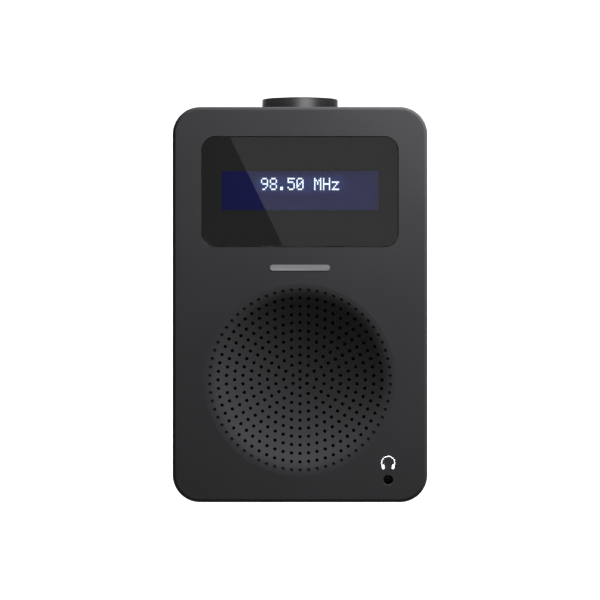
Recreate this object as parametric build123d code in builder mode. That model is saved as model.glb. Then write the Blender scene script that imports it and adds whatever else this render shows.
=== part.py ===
"""A small upright table radio: a two-part cabinet with a dished speaker grille and a display
window, a turning and pressing knob and four keys on top, a folding telescopic antenna and a
battery bay behind.

Millimetres. The origin is on the table under the middle of the cabinet, +Z is up, -Y is the
way the front faces, and +X is to the right of someone looking at the front.
"""

import os
from math import asin, cos, sin, sqrt

from build123d import *

os.makedirs("parts", exist_ok=True)

# ------------------------------------------------------------ driving dimensions

# cabinet
body_width = 97.0
body_height = 150.5
body_depth = 65.0
corner_radius = 10.5
wall = 2.2
front_depth = 10.5  # how far the front cover reaches back
front_edge_radius = 1.4
rear_edge_radius = 3.0
lip_length = 2.0  # the rear cover's tongue inside the front cover
lip_thickness = 0.95
lip_clearance = 0.15
parting_chamfer = 0.35
touch = 0.05  # clearance where two fixed pieces lie against each other

# feet
foot_radius = 5.0
foot_projection = 0.7
foot_recess = 0.9
foot_edge = 0.35
foot_front_inset = 18.5
foot_rear_inset = 13.0
foot_side_inset = 15.5

# speaker dish in the front cover
dish_height = 47.3  # centre above the table
dish_radius = 36.5
dish_depth = 9.0
dish_rim_radius = 12.0
hole_radius = 0.66
hole_pitch = 3.12
hole_rings = 10
dimple_depth = 0.35
cloth_thickness = 0.4
cloth_radius = 31.9

# display
window_width = 75.0
window_height = 42.2
window_radius = 5.4
window_centre = 118.9
window_gap = 0.2
window_sink = 0.25  # the lens lies this far below the front face
lens_thickness = 1.5
mask_thickness = 0.15
ledge_thickness = 1.5
ledge_border = 2.0
view_width = 59.7
view_height = 14.8
view_centre = 119.3
lcd_border = 1.35  # glass beyond the visible area, each side
lcd_thickness = 1.8
backlight_thickness = 2.0
frame_lip = 0.8
frame_wall = 1.0
frame_depth = 5.0
display_board_width = 72.0
display_board_height = 35.0
display_screw_x = 32.0
display_screw_z = 14.4

# blank badge between the window and the dish
badge_width = 22.8
badge_height = 2.2
badge_centre = 90.0
badge_seat = 0.4
badge_stand = 0.1

# headphone socket
jack_x = 33.5
jack_z = 9.3
jack_width = 7.0
jack_body_length = 14.0
jack_nose_radius = 2.9
jack_bore_radius = 1.8
jack_bore_length = 14.5
jack_hole_chamfer = 0.2
jack_web = 0.8  # front wall left in front of the socket's nose
jack_board_width = 18.0
jack_board_length = 14.8
jack_board_thickness = 1.2

# speaker
basket_size = 70.0
basket_corner = 10.0
basket_thickness = 1.2
basket_opening = 30.0
speaker_screw_spread = 28.0
speaker_boss_radius = 3.0
speaker_plane = -21.0  # front of the speaker's flange
gasket_thickness = 1.0
gasket_inner = 32.4
gasket_outer = 34.2
bowl_wall = 1.0
spider_ledge_depth = 8.5  # behind the flange's front
bowl_bottom_depth = 14.5
ledge_inner = 19.0
ledge_outer = 23.0
top_plate_thickness = 2.5
magnet_thickness = 7.5
yoke_thickness = 3.0
plate_radius = 17.5
magnet_radius = 18.5
magnet_hole = 9.8
pole_radius = 6.5
gap_radius = 8.2
former_radius = 7.0
former_wall = 0.25
coil_thickness = 0.6
coil_length = 4.0
cone_radius = 23.6
cone_neck_depth = 7.0
cone_thickness = 0.5
cap_radius = 8.5
cap_height = 3.0
cap_thickness = 0.4
surround_thickness = 0.5
roll_radius = 2.2

# knob and its encoder
knob_y = -4.0
knob_radius = 14.75
knob_height = 5.0
knob_stand = 4.6  # top of the knob above the cabinet
knob_edge = 0.5
knob_wall = 2.2
knob_top = 2.0
knob_hub_radius = 5.2
knob_recess_radius = 15.6
knob_recess_depth = 1.2
push_travel = 0.5
shaft_radius = 3.0
shaft_flat = 1.5  # the flat's distance from the axis
shaft_clearance = 0.06
bushing_radius = 3.6
encoder_size = 12.4
encoder_height = 6.5
rotor_radius = 3.8

# keys
key_width = 15.0
key_length = 11.0
key_radius = 2.6
key_edge = 0.4
key_gap = 0.3
key_stand = 0.6
key_travel = 0.5
key_flange = 1.5
key_flange_thickness = 1.2
key_column = 28.0
key_row = 8.5
key_leg_radius = 1.5
switch_size = 6.0
switch_height = 3.5
plunger_radius = 1.7
plunger_stand = 1.0

# circuit boards
board_thickness = 1.6
key_board_width = 84.0
key_board_front = -21.0
key_board_back = 17.5
key_board_drop = 8.2  # its top face below the inside of the cabinet's top
key_screw_x = 39.6
key_screw_front = -18.6
key_screw_back = 15.0
main_board_width = 72.0
main_board_bottom = 82.0
main_board_top = 127.0
main_board_y = 8.0
main_screw_x = 32.0
main_screw_inset = 4.0
power_board_x = -40.0
power_board_z = 36.5
power_board_width = 12.0
power_board_height = 22.0
power_screw_spread = 8.0
usb_width = 8.9
usb_height = 3.2
usb_length = 7.3
usb_wall = 0.3
vent_count = 9
vent_pitch = 5.0
vent_width = 1.8
vent_height = 22.0
vent_centre = 104.0

# antenna
notch_size = 9.5  # the step along the top rear edge that the antenna folds into
notch_edge_radius = 0.8
antenna_x = -37.5  # fold and swivel axes
section_length = 72.0
section_radii = (3.0, 2.5, 2.0, 1.5)
section_gap = 0.06  # running clearance between one section and the next
swivel_radius = 4.2
swivel_base = 1.5
ear_radius = 2.5
ear_thickness = 1.4
tongue_thickness = 3.0
antenna_pin_radius = 1.0
stud_radius = 1.8
stud_flange_radius = 2.6
stud_screw_radius = 0.9
ferrule_length = 4.5
tip_radius = 3.2
tip_length = 2.8
rest_rib_x = 30.0

# battery bay
cell_radius = 7.1
cell_length = 50.5
cell_nub_radius = 2.7
cell_nub_length = 1.2
cell_pitch = 14.8
cell_count = 4
spring_length = 5.5
spring_sheet = 0.4
spring_width = 6.0
spring_half_span = 4.6
contact_thickness = 0.5
contact_width = 11.0
bay_margin = 1.5
bay_depth = 15.2
bay_wall = 2.6
bay_front_wall = 2.0
bay_floor = 14.0
door_thickness = 2.6
door_overlap = 2.0
door_gap = 0.3
door_seat = 0.2
door_corner = 3.0
door_pin_radius = 0.7
door_pin_length = 1.0
latch_width = 18.0
latch_slit = 0.8
latch_length = 10.0

# fasteners
case_screw_x = 40.5
case_screw_low = 20.0
case_screw_high = 132.0
case_boss_radius = 4.0
case_seat_y = 0.0
case_joint_y = -10.0
case_pilot_length = 14.0
board_boss_radius = 2.2
board_screw_head = 1.9
board_screw_shank = 0.9
board_screw_length = 4.0
board_head_height = 1.5
board_hole_radius = 1.1
pilot_slack = 0.05
case_screw_length = 21.5
case_head_height = 2.0

# leads
lead_radius = 0.6
ribbon_x = 6.0
ribbon_width = 10.0
ribbon_thickness = 0.3

# ------------------------------------------------------------ places worked out

front_y = -body_depth / 2
back_y = body_depth / 2
base_z = foot_projection
top_z = base_z + body_height
middle_z = base_z + body_height / 2
parting_y = front_y + front_depth
inside_front = front_y + wall
inside_back = back_y - wall
inside_bottom = base_z + wall
inside_top = top_z - wall


def across(y):
    """The plane across the radio at depth y. It faces forward; its axes are X and Z."""
    return Plane.XZ.offset(-y)


def level(z):
    """The horizontal plane at height z."""
    return Plane.XY.offset(z)


def upright(x):
    """The plane along the radio at x. Its axes are Y and Z."""
    return Plane.YZ.offset(x)


def save(piece, label):
    """Names a finished piece and writes it."""
    piece.part.label = label
    export_step(piece.part, f"parts/{label}.step")


def body_outline(inset=0.0, mode=Mode.ADD):
    """The cabinet's rounded outline, for a sketch across the radio."""
    width = body_width - 2 * inset
    height = body_height - 2 * inset
    with Locations((0, middle_z)):
        RectangleRounded(width, height, corner_radius - inset, mode=mode)


# places of fasteners, as (x, z) across the radio or (x, y) on a level
case_screw_places = [
    (side * case_screw_x, z) for side in (-1, 1) for z in (case_screw_low, case_screw_high)
]
display_screw_places = [
    (side * display_screw_x, view_centre + rise * display_screw_z)
    for side in (-1, 1)
    for rise in (-1, 1)
]
speaker_screw_places = [
    (side * speaker_screw_spread, dish_height + rise * speaker_screw_spread)
    for side in (-1, 1)
    for rise in (-1, 1)
]
main_screw_places = [
    (side * main_screw_x, z)
    for side in (-1, 1)
    for z in (main_board_bottom + main_screw_inset, main_board_top - main_screw_inset)
]
key_screw_places = [
    (side * key_screw_x, y) for side in (-1, 1) for y in (key_screw_front, key_screw_back)
]
power_screw_places = [
    (power_board_x, power_board_z + rise * power_screw_spread) for rise in (-1, 1)
]

# ------------------------------------------------------------ speaker dish

# The dish is a hollow ball joined to the flat face by a rounded rim. Both arcs meet the
# face and each other without a corner, which fixes the ball's radius.
rim_reach = (dish_radius**2 + dish_depth**2) / (2 * dish_depth)
ball_radius = rim_reach - dish_rim_radius
rim_slope = asin(dish_radius / rim_reach)
dish_plane = Plane(origin=(0, front_y, dish_height), x_dir=(1, 0, 0), z_dir=(0, 0, 1))
dish_axis = Axis((0, front_y, dish_height), (0, 1, 0))


def on_ball(angle, gap):
    """A point of the hollow ball, gap behind its front, as (radius, depth)."""
    reach = ball_radius + gap
    return (reach * sin(angle), dish_depth - ball_radius + reach * cos(angle))


def on_rim(angle, gap):
    """A point of the rounded rim, gap behind its front, as (radius, depth)."""
    reach = dish_rim_radius - gap
    return (dish_radius - reach * sin(angle), dish_rim_radius - reach * cos(angle))


def dish_arcs(gap):
    """The dish's two arcs from its axis out to the flat face, gap behind the front."""
    ThreePointArc(on_ball(0, gap), on_ball(rim_slope / 2, gap), on_ball(rim_slope, gap))
    ThreePointArc(on_rim(rim_slope, gap), on_rim(rim_slope / 2, gap), on_rim(0, gap))


def ring_of_holes(ring):
    """Circles evenly round the dish, six for each step outwards."""
    with PolarLocations(ring * hole_pitch, 6 * ring, start_angle=90):
        Circle(hole_radius)


dish_flat = 1.0  # flat ring round the dish that lies in the front wall
dimple_ring = hole_rings + 1
dimple_inset = dish_radius - dimple_ring * hole_pitch
dimple_surface = dish_rim_radius - sqrt(dish_rim_radius**2 - dimple_inset**2)

# ------------------------------------------------------------ front cover

lens_floor = front_y + window_sink + lens_thickness + mask_thickness
ledge_back = lens_floor + ledge_thickness
jack_nose_y = front_y + jack_web
lcd_width = view_width + 2 * lcd_border
lcd_height = view_height + 2 * lcd_border + 2.0
display_board_y = ledge_back + frame_depth
jack_board_top = jack_z - jack_width / 2 - touch
jack_board_bottom = jack_board_top - jack_board_thickness
jack_board_x = jack_x - 4.0
jack_board_front = inside_front + 0.5
jack_screw_place = (jack_x - 10.0, jack_board_front + 3.3)
rib_length = speaker_plane - gasket_thickness

with BuildPart() as front_cover:
    with BuildSketch(across(front_y)):
        body_outline()
    extrude(amount=-front_depth)
    rim_edges = front_cover.faces().sort_by(Axis.Y)[0].edges()
    fillet(rim_edges, front_edge_radius)
    back_edges = front_cover.faces().sort_by(Axis.Y)[-1].edges()
    chamfer(back_edges, parting_chamfer)
    with BuildSketch(across(inside_front)):
        body_outline(wall)
    extrude(amount=-(front_depth - wall), mode=Mode.SUBTRACT)
    # rebate that takes the rear cover's tongue
    with BuildSketch(across(parting_y)):
        body_outline(wall - lip_thickness - lip_clearance)
    extrude(amount=lip_length + lip_clearance, mode=Mode.SUBTRACT)
    # dish in place of a disc of the flat front
    with BuildSketch(across(front_y)):
        with Locations((0, dish_height)):
            Circle(dish_radius)
    extrude(amount=-wall, mode=Mode.SUBTRACT)
    with BuildSketch(dish_plane):
        with BuildLine():
            dish_arcs(0)
            Polyline(
                on_rim(0, 0),
                (dish_radius + dish_flat, 0),
                (dish_radius + dish_flat, wall),
                on_rim(0, wall),
            )
            dish_arcs(wall)
            Line(on_ball(0, wall), on_ball(0, 0))
        make_face()
    revolve(axis=dish_axis)
    with BuildSketch(across(front_y)):
        with Locations((0, dish_height)):
            Circle(hole_radius)
            for ring in range(1, hole_rings + 1):
                ring_of_holes(ring)
    extrude(amount=-(dish_depth + wall + 1), mode=Mode.SUBTRACT)
    # blind dimples round the rim carry the pattern out to the flat face
    with BuildSketch(across(front_y)):
        with Locations((0, dish_height)):
            ring_of_holes(dimple_ring)
    extrude(amount=-(dimple_surface + dimple_depth), mode=Mode.SUBTRACT)
    # ring that the speaker's gasket seals against
    with BuildSketch(across(rib_length)):
        with Locations((0, dish_height)):
            Circle(gasket_outer)
            Circle(gasket_inner, mode=Mode.SUBTRACT)
    extrude(amount=rib_length - front_y - 2.0)
    # pad behind the display, the seat for the lens and the opening for the view
    with BuildSketch(across(ledge_back)):
        with Locations((0, window_centre)):
            RectangleRounded(
                window_width + 2 * ledge_border,
                window_height + 2 * ledge_border,
                window_radius + ledge_border,
            )
    extrude(amount=ledge_back - inside_front)
    with BuildSketch(across(front_y)):
        with Locations((0, window_centre)):
            RectangleRounded(window_width, window_height, window_radius)
    extrude(amount=-(lens_floor - front_y), mode=Mode.SUBTRACT)
    with BuildSketch(across(front_y)):
        with Locations((0, view_centre)):
            Rectangle(lcd_width + 1.0, lcd_height)
    extrude(amount=-(ledge_back - front_y), mode=Mode.SUBTRACT)
    with BuildSketch(across(front_y)):
        with Locations((0, badge_centre)):
            SlotOverall(badge_width + 2 * touch, badge_height + 2 * touch)
    extrude(amount=-badge_seat, mode=Mode.SUBTRACT)
    # bosses for the case screws, the speaker and the display board
    with BuildSketch(across(case_joint_y - touch)):
        with Locations(*case_screw_places):
            Circle(case_boss_radius - 0.5)
    extrude(amount=case_joint_y - touch - inside_front + 0.2)
    with BuildSketch(across(case_joint_y - touch)):
        with Locations(*case_screw_places):
            Circle(1.2 + pilot_slack)
    extrude(amount=case_pilot_length, mode=Mode.SUBTRACT)
    with BuildSketch(across(speaker_plane)):
        with Locations(*speaker_screw_places):
            Circle(speaker_boss_radius)
    extrude(amount=speaker_plane - inside_front + 1.0)
    with BuildSketch(across(speaker_plane)):
        with Locations(*speaker_screw_places):
            Circle(1.1 + pilot_slack)
    extrude(amount=7.5, mode=Mode.SUBTRACT)
    with BuildSketch(across(display_board_y)):
        with Locations(*display_screw_places):
            Circle(board_boss_radius)
    extrude(amount=frame_depth + 0.2)
    with BuildSketch(across(display_board_y)):
        with Locations(*display_screw_places):
            Circle(board_screw_shank + pilot_slack)
    extrude(amount=board_screw_length - board_thickness + 1.0, mode=Mode.SUBTRACT)
    # headphone socket: a hole with a bevelled mouth, and a seat behind for its nose
    with BuildSketch(across(jack_nose_y)):
        with Locations((jack_x, jack_z)):
            Circle(jack_nose_radius + touch)
    extrude(amount=-(wall - jack_web), mode=Mode.SUBTRACT)
    with BuildSketch(across(front_y)):
        with Locations((jack_x, jack_z)):
            Circle(jack_bore_radius)
    extrude(amount=-wall, mode=Mode.SUBTRACT)
    mouth = (
        front_cover.edges()
        .filter_by(GeomType.CIRCLE)
        .filter_by(lambda e: abs(e.radius - jack_bore_radius) < 0.01)
        .sort_by(Axis.Y)[0]
    )
    chamfer(mouth, jack_hole_chamfer)
    # boss for the headphone board
    with BuildSketch(level(jack_board_bottom - touch)):
        with Locations(jack_screw_place):
            Circle(board_boss_radius)
    extrude(amount=-(jack_board_bottom - touch - inside_bottom + 0.1))
    with BuildSketch(level(jack_board_bottom - touch)):
        with Locations(jack_screw_place):
            Circle(board_screw_shank + pilot_slack)
    extrude(amount=-2.9, mode=Mode.SUBTRACT)
save(front_cover, "front_cover")

# ------------------------------------------------------------ rear cover

notch_floor = top_z - notch_size
notch_back = back_y - notch_size
recess_floor = top_z - knob_recess_depth
recess_under = recess_floor - wall
key_board_top = inside_top - key_board_drop
bay_half = (cell_count - 1) / 2 * cell_pitch + cell_radius + bay_margin
bay_height = cell_length + spring_length + 2 * contact_thickness
bay_top = bay_floor + bay_height
bay_middle = bay_floor + bay_height / 2
door_inner_y = back_y - door_thickness
bay_mouth_y = door_inner_y - door_seat
bay_front_y = bay_mouth_y - bay_depth
door_width = 2 * (bay_half + door_overlap)
door_bottom = bay_floor - door_overlap
door_top = bay_top + door_overlap
door_axis_y = back_y - door_thickness / 2
door_axis_z = door_bottom + door_thickness / 2
antenna_y = notch_back + swivel_radius + 0.3
antenna_z = notch_floor + swivel_base + 0.2 + ear_radius + 0.5
key_places = [
    (side * key_column, knob_y + row * key_row) for side in (-1, 1) for row in (-1, 1)
]
foot_places = [
    (side * (body_width / 2 - foot_side_inset), y)
    for side in (-1, 1)
    for y in (front_y + foot_front_inset, back_y - foot_rear_inset)
]
power_board_y = inside_back - usb_length + wall - 0.8
bay_tab_slots = [
    (side * (cell_count - 1) / 2 * cell_pitch, bay_mouth_y - cell_radius - 0.4)
    for side in (-1, 1)
]
cell_y = bay_mouth_y - cell_radius - 0.4


def door_outline(bottom, grow=0.0):
    """The battery door's outline down to bottom: rounded corners above, square below."""
    width = door_width + 2 * grow
    height = door_top + grow - bottom
    with Locations((0, bottom)):
        Rectangle(width, height / 2, align=(Align.CENTER, Align.MIN))
    with Locations((0, bottom + height / 2)):
        RectangleRounded(width, height, door_corner + grow)


# the hollow inside, which steps in under the notch
with BuildPart() as hollow:
    with BuildSketch(across(parting_y)):
        body_outline(wall)
    extrude(amount=-(inside_back - parting_y))
    with BuildSketch(upright(0)):
        with Locations((notch_back - wall, notch_floor - wall)):
            Rectangle(
                notch_size + wall,
                notch_size + wall,
                align=(Align.MIN, Align.MIN),
            )
    extrude(amount=body_width / 2, both=True, mode=Mode.SUBTRACT)

with BuildPart() as rear_cover:
    with BuildSketch(across(parting_y)):
        body_outline()
    extrude(amount=-(back_y - parting_y))
    fillet(rear_cover.faces().sort_by(Axis.Y)[-1].edges(), rear_edge_radius)
    chamfer(rear_cover.faces().sort_by(Axis.Y)[0].edges(), parting_chamfer)
    # notch for the folded antenna
    with BuildSketch(upright(0)):
        with Locations((notch_back, notch_floor)):
            Rectangle(notch_size, notch_size, align=(Align.MIN, Align.MIN))
    extrude(amount=body_width / 2, both=True, mode=Mode.SUBTRACT)
    notch_edges = (
        rear_cover.edges()
        .filter_by(Axis.X)
        .filter_by(
            lambda e: (abs(e.center().Y - notch_back) < 0.01 and abs(e.center().Z - top_z) < 0.01)
            or (abs(e.center().Z - notch_floor) < 0.01 and abs(e.center().Y - back_y) < 0.01)
        )
    )
    fillet(notch_edges, notch_edge_radius)
    add(hollow.part, mode=Mode.SUBTRACT)
    # tongue that locates the front cover
    with BuildSketch(across(parting_y)):
        body_outline(wall - lip_thickness)
        body_outline(wall, Mode.SUBTRACT)
    extrude(amount=lip_length)
    # battery bay: a box on the back wall, its pocket, and the door's opening
    with BuildSketch(across(inside_back)):
        with Locations((0, bay_middle)):
            Rectangle(2 * (bay_half + bay_wall), bay_height + 2 * bay_wall)
    extrude(amount=inside_back - bay_front_y + bay_front_wall)
    with BuildSketch(across(bay_front_y)):
        with Locations((0, bay_middle)):
            Rectangle(2 * bay_half, bay_height)
    extrude(amount=-(back_y - bay_front_y), mode=Mode.SUBTRACT)
    with BuildSketch(across(bay_mouth_y)):
        door_outline(door_bottom - door_gap, door_gap)
    extrude(amount=-(back_y - bay_mouth_y), mode=Mode.SUBTRACT)
    # blind holes for the door's pins
    with BuildSketch(upright(0)):
        with Locations((door_axis_y, door_axis_z)):
            Circle(door_pin_radius + 0.1)
    extrude(
        amount=door_width / 2 + door_gap + door_pin_length, both=True, mode=Mode.SUBTRACT
    )
    # slots for the contacts' solder tabs
    with BuildSketch(level(bay_top)):
        with Locations(*bay_tab_slots):
            Rectangle(3.6, contact_thickness + 0.4)
    extrude(amount=bay_wall, mode=Mode.SUBTRACT)
    # bosses for the case screws, open from behind
    with BuildSketch(across(inside_back)):
        with Locations(*case_screw_places):
            Circle(case_boss_radius)
    extrude(amount=inside_back - case_joint_y)
    with BuildSketch(across(back_y)):
        with Locations(*case_screw_places):
            Circle(case_boss_radius - 0.9)
    extrude(amount=back_y - case_seat_y, mode=Mode.SUBTRACT)
    with BuildSketch(across(case_seat_y)):
        with Locations(*case_screw_places):
            Circle(1.6)
    extrude(amount=case_seat_y - case_joint_y, mode=Mode.SUBTRACT)
    # bosses for the main and power boards
    with BuildSketch(across(inside_back)):
        with Locations(*main_screw_places):
            Circle(board_boss_radius + 0.3)
    extrude(amount=inside_back - main_board_y - board_thickness)
    with BuildSketch(across(inside_back)):
        with Locations(*power_screw_places):
            Circle(board_boss_radius)
    extrude(amount=inside_back - power_board_y)
    with BuildSketch(across(main_board_y + board_thickness)):
        with Locations(*main_screw_places):
            Circle(board_screw_shank + pilot_slack)
    extrude(amount=-board_screw_length, mode=Mode.SUBTRACT)
    with BuildSketch(across(power_board_y)):
        with Locations(*power_screw_places):
            Circle(board_screw_shank + pilot_slack)
    extrude(amount=-board_screw_length, mode=Mode.SUBTRACT)
    # knob recess with its own thicker floor, and the encoder's hole
    with BuildSketch(level(recess_under)):
        with Locations((0, knob_y)):
            Circle(knob_recess_radius + wall)
    extrude(amount=inside_top - recess_under + 0.1)
    with BuildSketch(level(top_z)):
        with Locations((0, knob_y)):
            Circle(knob_recess_radius)
    extrude(amount=-knob_recess_depth, mode=Mode.SUBTRACT)
    with BuildSketch(level(recess_floor)):
        with Locations((0, knob_y)):
            Circle(bushing_radius + 0.25)
    extrude(amount=-wall, mode=Mode.SUBTRACT)
    # key openings
    with BuildSketch(level(top_z)):
        with Locations(*key_places):
            RectangleRounded(
                key_width + 2 * key_gap, key_length + 2 * key_gap, key_radius + key_gap
            )
    extrude(amount=-wall, mode=Mode.SUBTRACT)
    # bosses for the key board, hanging from the top wall
    with BuildSketch(level(key_board_top)):
        with Locations(*key_screw_places):
            Circle(board_boss_radius - 0.2)
    extrude(amount=inside_top - key_board_top + 0.3)
    with BuildSketch(level(key_board_top)):
        with Locations(*key_screw_places):
            Circle(board_screw_shank + pilot_slack)
    extrude(amount=board_screw_length, mode=Mode.SUBTRACT)
    # antenna: the swivel's hole and a low rib that the folded rod lies on
    with BuildSketch(level(notch_floor)):
        with Locations((antenna_x, antenna_y)):
            Circle(stud_radius + 0.1)
    extrude(amount=-wall, mode=Mode.SUBTRACT)
    with BuildSketch(level(notch_floor)):
        with Locations((rest_rib_x, antenna_y)):
            RectangleRounded(2.4, notch_size - 3.0, 1.0)
    extrude(amount=antenna_z - section_radii[0] - 0.1 - notch_floor)
    # seats for the feet
    with BuildSketch(level(base_z)):
        with Locations(*foot_places):
            Circle(foot_radius + touch)
    extrude(amount=foot_recess, mode=Mode.SUBTRACT)
    # power socket and vents in the back wall
    with BuildSketch(across(back_y)):
        with Locations((power_board_x, power_board_z)):
            RectangleRounded(usb_width + 0.6, usb_height + 0.6, (usb_height + 0.6) / 2 - 0.1)
        with Locations((0, vent_centre)):
            with GridLocations(vent_pitch, 0, vent_count, 1):
                SlotOverall(vent_height, vent_width, rotation=90)
    extrude(amount=wall, mode=Mode.SUBTRACT)
save(rear_cover, "rear_cover")

# ------------------------------------------------------------ display

lens_front = front_y + window_sink
mask_front = lens_front + lens_thickness
frame_front = ledge_back + touch
glass_front = frame_front + frame_lip + touch
backlight_front = glass_front + lcd_thickness + touch

with BuildPart() as display_window:
    with BuildSketch(across(lens_front)):
        with Locations((0, window_centre)):
            RectangleRounded(
                window_width - 2 * window_gap,
                window_height - 2 * window_gap,
                window_radius - window_gap,
            )
    extrude(amount=-lens_thickness)
    fillet(display_window.faces().sort_by(Axis.Y)[0].edges(), 0.2)
save(display_window, "display_window")

with BuildPart() as window_mask:
    with BuildSketch(across(mask_front)):
        with Locations((0, window_centre)):
            RectangleRounded(
                window_width - 2 * window_gap,
                window_height - 2 * window_gap,
                window_radius - window_gap,
            )
        with Locations((0, view_centre)):
            Rectangle(view_width, view_height, mode=Mode.SUBTRACT)
    extrude(amount=-mask_thickness)
save(window_mask, "window_mask")

with BuildPart() as lcd_frame:
    with BuildSketch(across(frame_front)):
        with Locations((0, view_centre)):
            Rectangle(lcd_width + 2 * frame_wall, lcd_height + 2 * frame_wall)
            Rectangle(view_width + 0.8, view_height + 0.8, mode=Mode.SUBTRACT)
    extrude(amount=-(display_board_y - frame_front))
    with BuildSketch(across(frame_front + frame_lip)):
        with Locations((0, view_centre)):
            Rectangle(lcd_width, lcd_height)
    extrude(amount=-(display_board_y - frame_front - frame_lip), mode=Mode.SUBTRACT)
save(lcd_frame, "lcd_frame")

with BuildPart() as lcd_glass:
    with BuildSketch(across(glass_front)):
        with Locations((0, view_centre)):
            Rectangle(lcd_width - 2 * touch, lcd_height - 2 * touch)
    extrude(amount=-lcd_thickness)
save(lcd_glass, "lcd_glass")

with BuildPart() as backlight_panel:
    with BuildSketch(across(backlight_front)):
        with Locations((0, view_centre)):
            Rectangle(lcd_width - 2 * touch, lcd_height - 2 * touch)
    extrude(amount=-backlight_thickness)
save(backlight_panel, "backlight_panel")

with BuildPart() as display_board:
    with BuildSketch(across(display_board_y)):
        with Locations((0, view_centre)):
            RectangleRounded(display_board_width, display_board_height, 1.5)
        with Locations(*display_screw_places):
            Circle(board_hole_radius, mode=Mode.SUBTRACT)
    extrude(amount=-board_thickness)
save(display_board, "display_board")

with BuildPart() as front_badge:
    with BuildSketch(across(front_y - badge_stand)):
        with Locations((0, badge_centre)):
            SlotOverall(badge_width, badge_height)
    extrude(amount=-(badge_seat + badge_stand - touch))
save(front_badge, "front_badge")

# ------------------------------------------------------------ speaker

flange_back = speaker_plane + basket_thickness
spider_ledge = speaker_plane + spider_ledge_depth
bowl_back = speaker_plane + bowl_bottom_depth
plate_back = bowl_back + top_plate_thickness
magnet_back = plate_back + magnet_thickness
yoke_back = magnet_back + yoke_thickness
speaker_profile = Plane(origin=(0, 0, dish_height), x_dir=(1, 0, 0), z_dir=(0, 0, 1))
speaker_axis = Axis((0, 0, dish_height), (0, 1, 0))
neck_radius = former_radius + former_wall + touch
neck_y = speaker_plane + cone_neck_depth
cone_land = cone_radius - 1.6
spider_half = 0.12  # half the spider's thickness
spider_y = spider_ledge - spider_half - touch
surround_front = speaker_plane - touch - surround_thickness
cone_slope = (neck_y - speaker_plane) / (cone_land - neck_radius)
cap_y = speaker_plane + (cone_land - cap_radius) * cone_slope - touch

with BuildPart() as grille_cloth:
    with BuildSketch(dish_plane):
        with BuildLine():
            near = wall + 0.1
            far = near + cloth_thickness
            edge = asin(cloth_radius / (ball_radius + near))
            ThreePointArc(on_ball(0, near), on_ball(edge / 2, near), on_ball(edge, near))
            Line(on_ball(edge, near), on_ball(edge, far))
            ThreePointArc(on_ball(edge, far), on_ball(edge / 2, far), on_ball(0, far))
            Line(on_ball(0, far), on_ball(0, near))
        make_face()
    revolve(axis=dish_axis)
save(grille_cloth, "grille_cloth")

with BuildPart() as speaker_gasket:
    with BuildSketch(across(rib_length)):
        with Locations((0, dish_height)):
            Circle(gasket_outer)
            Circle(gasket_inner, mode=Mode.SUBTRACT)
    extrude(amount=-gasket_thickness)
save(speaker_gasket, "speaker_gasket")

with BuildPart() as speaker_basket:
    with BuildSketch(across(speaker_plane)):
        with Locations((0, dish_height)):
            RectangleRounded(basket_size, basket_size, basket_corner)
            Circle(basket_opening, mode=Mode.SUBTRACT)
        with Locations(*speaker_screw_places):
            Circle(1.3, mode=Mode.SUBTRACT)
    extrude(amount=-basket_thickness)
    with BuildSketch(speaker_profile):
        with BuildLine():
            Polyline(
                (basket_opening, speaker_plane),
                (basket_opening, flange_back),
                (ledge_outer, spider_ledge),
                (ledge_inner, spider_ledge),
                (ledge_inner, bowl_back - bowl_wall),
                (gap_radius + 1.5, bowl_back - bowl_wall),
                (gap_radius + 1.5, bowl_back),
                (ledge_inner + bowl_wall, bowl_back),
                (ledge_inner + bowl_wall, spider_ledge + bowl_wall),
                (ledge_outer + bowl_wall, spider_ledge + bowl_wall),
                (basket_opening + bowl_wall, flange_back),
                (basket_opening + bowl_wall, speaker_plane),
                close=True,
            )
        make_face()
    revolve(axis=speaker_axis)
    # windows in the bowl's slope
    with BuildSketch(across(flange_back + 1.0)):
        with Locations((0, dish_height)):
            with PolarLocations((basket_opening + ledge_outer) / 2, 8, start_angle=22.5):
                RectangleRounded(basket_opening - ledge_outer + 3.0, 12.0, 2.0)
    extrude(amount=-(spider_ledge - flange_back - 1.8), mode=Mode.SUBTRACT)
    # pad for the terminals
    with BuildSketch(level(dish_height + ledge_inner)):
        with Locations((0, (spider_ledge + bowl_back) / 2 + 0.5)):
            Rectangle(14.0, 4.0)
    extrude(amount=3.0)
save(speaker_basket, "speaker_basket")

with BuildPart() as speaker_top_plate:
    with BuildSketch(across(bowl_back)):
        with Locations((0, dish_height)):
            Circle(plate_radius)
            Circle(gap_radius, mode=Mode.SUBTRACT)
    extrude(amount=-top_plate_thickness)
save(speaker_top_plate, "speaker_top_plate")

with BuildPart() as speaker_magnet:
    with BuildSketch(across(plate_back)):
        with Locations((0, dish_height)):
            Circle(magnet_radius)
            Circle(magnet_hole, mode=Mode.SUBTRACT)
    extrude(amount=-magnet_thickness)
    chamfer(speaker_magnet.edges().filter_by(GeomType.CIRCLE).group_by(SortBy.RADIUS)[-1], 0.5)
save(speaker_magnet, "speaker_magnet")

with BuildPart() as speaker_yoke:
    with BuildSketch(across(magnet_back)):
        with Locations((0, dish_height)):
            Circle(plate_radius)
    extrude(amount=-yoke_thickness)
    with BuildSketch(across(magnet_back)):
        with Locations((0, dish_height)):
            Circle(pole_radius)
    extrude(amount=magnet_back - bowl_back)
save(speaker_yoke, "speaker_yoke")

with BuildPart() as speaker_cone:
    with BuildSketch(speaker_profile):
        with BuildLine():
            Polyline(
                (cone_radius, speaker_plane),
                (cone_land, speaker_plane),
                (neck_radius, neck_y),
                (neck_radius, neck_y + cone_thickness),
                (cone_land, speaker_plane + cone_thickness),
                (cone_radius, speaker_plane + cone_thickness),
                close=True,
            )
        make_face()
    revolve(axis=speaker_axis)
save(speaker_cone, "speaker_cone")

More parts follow.
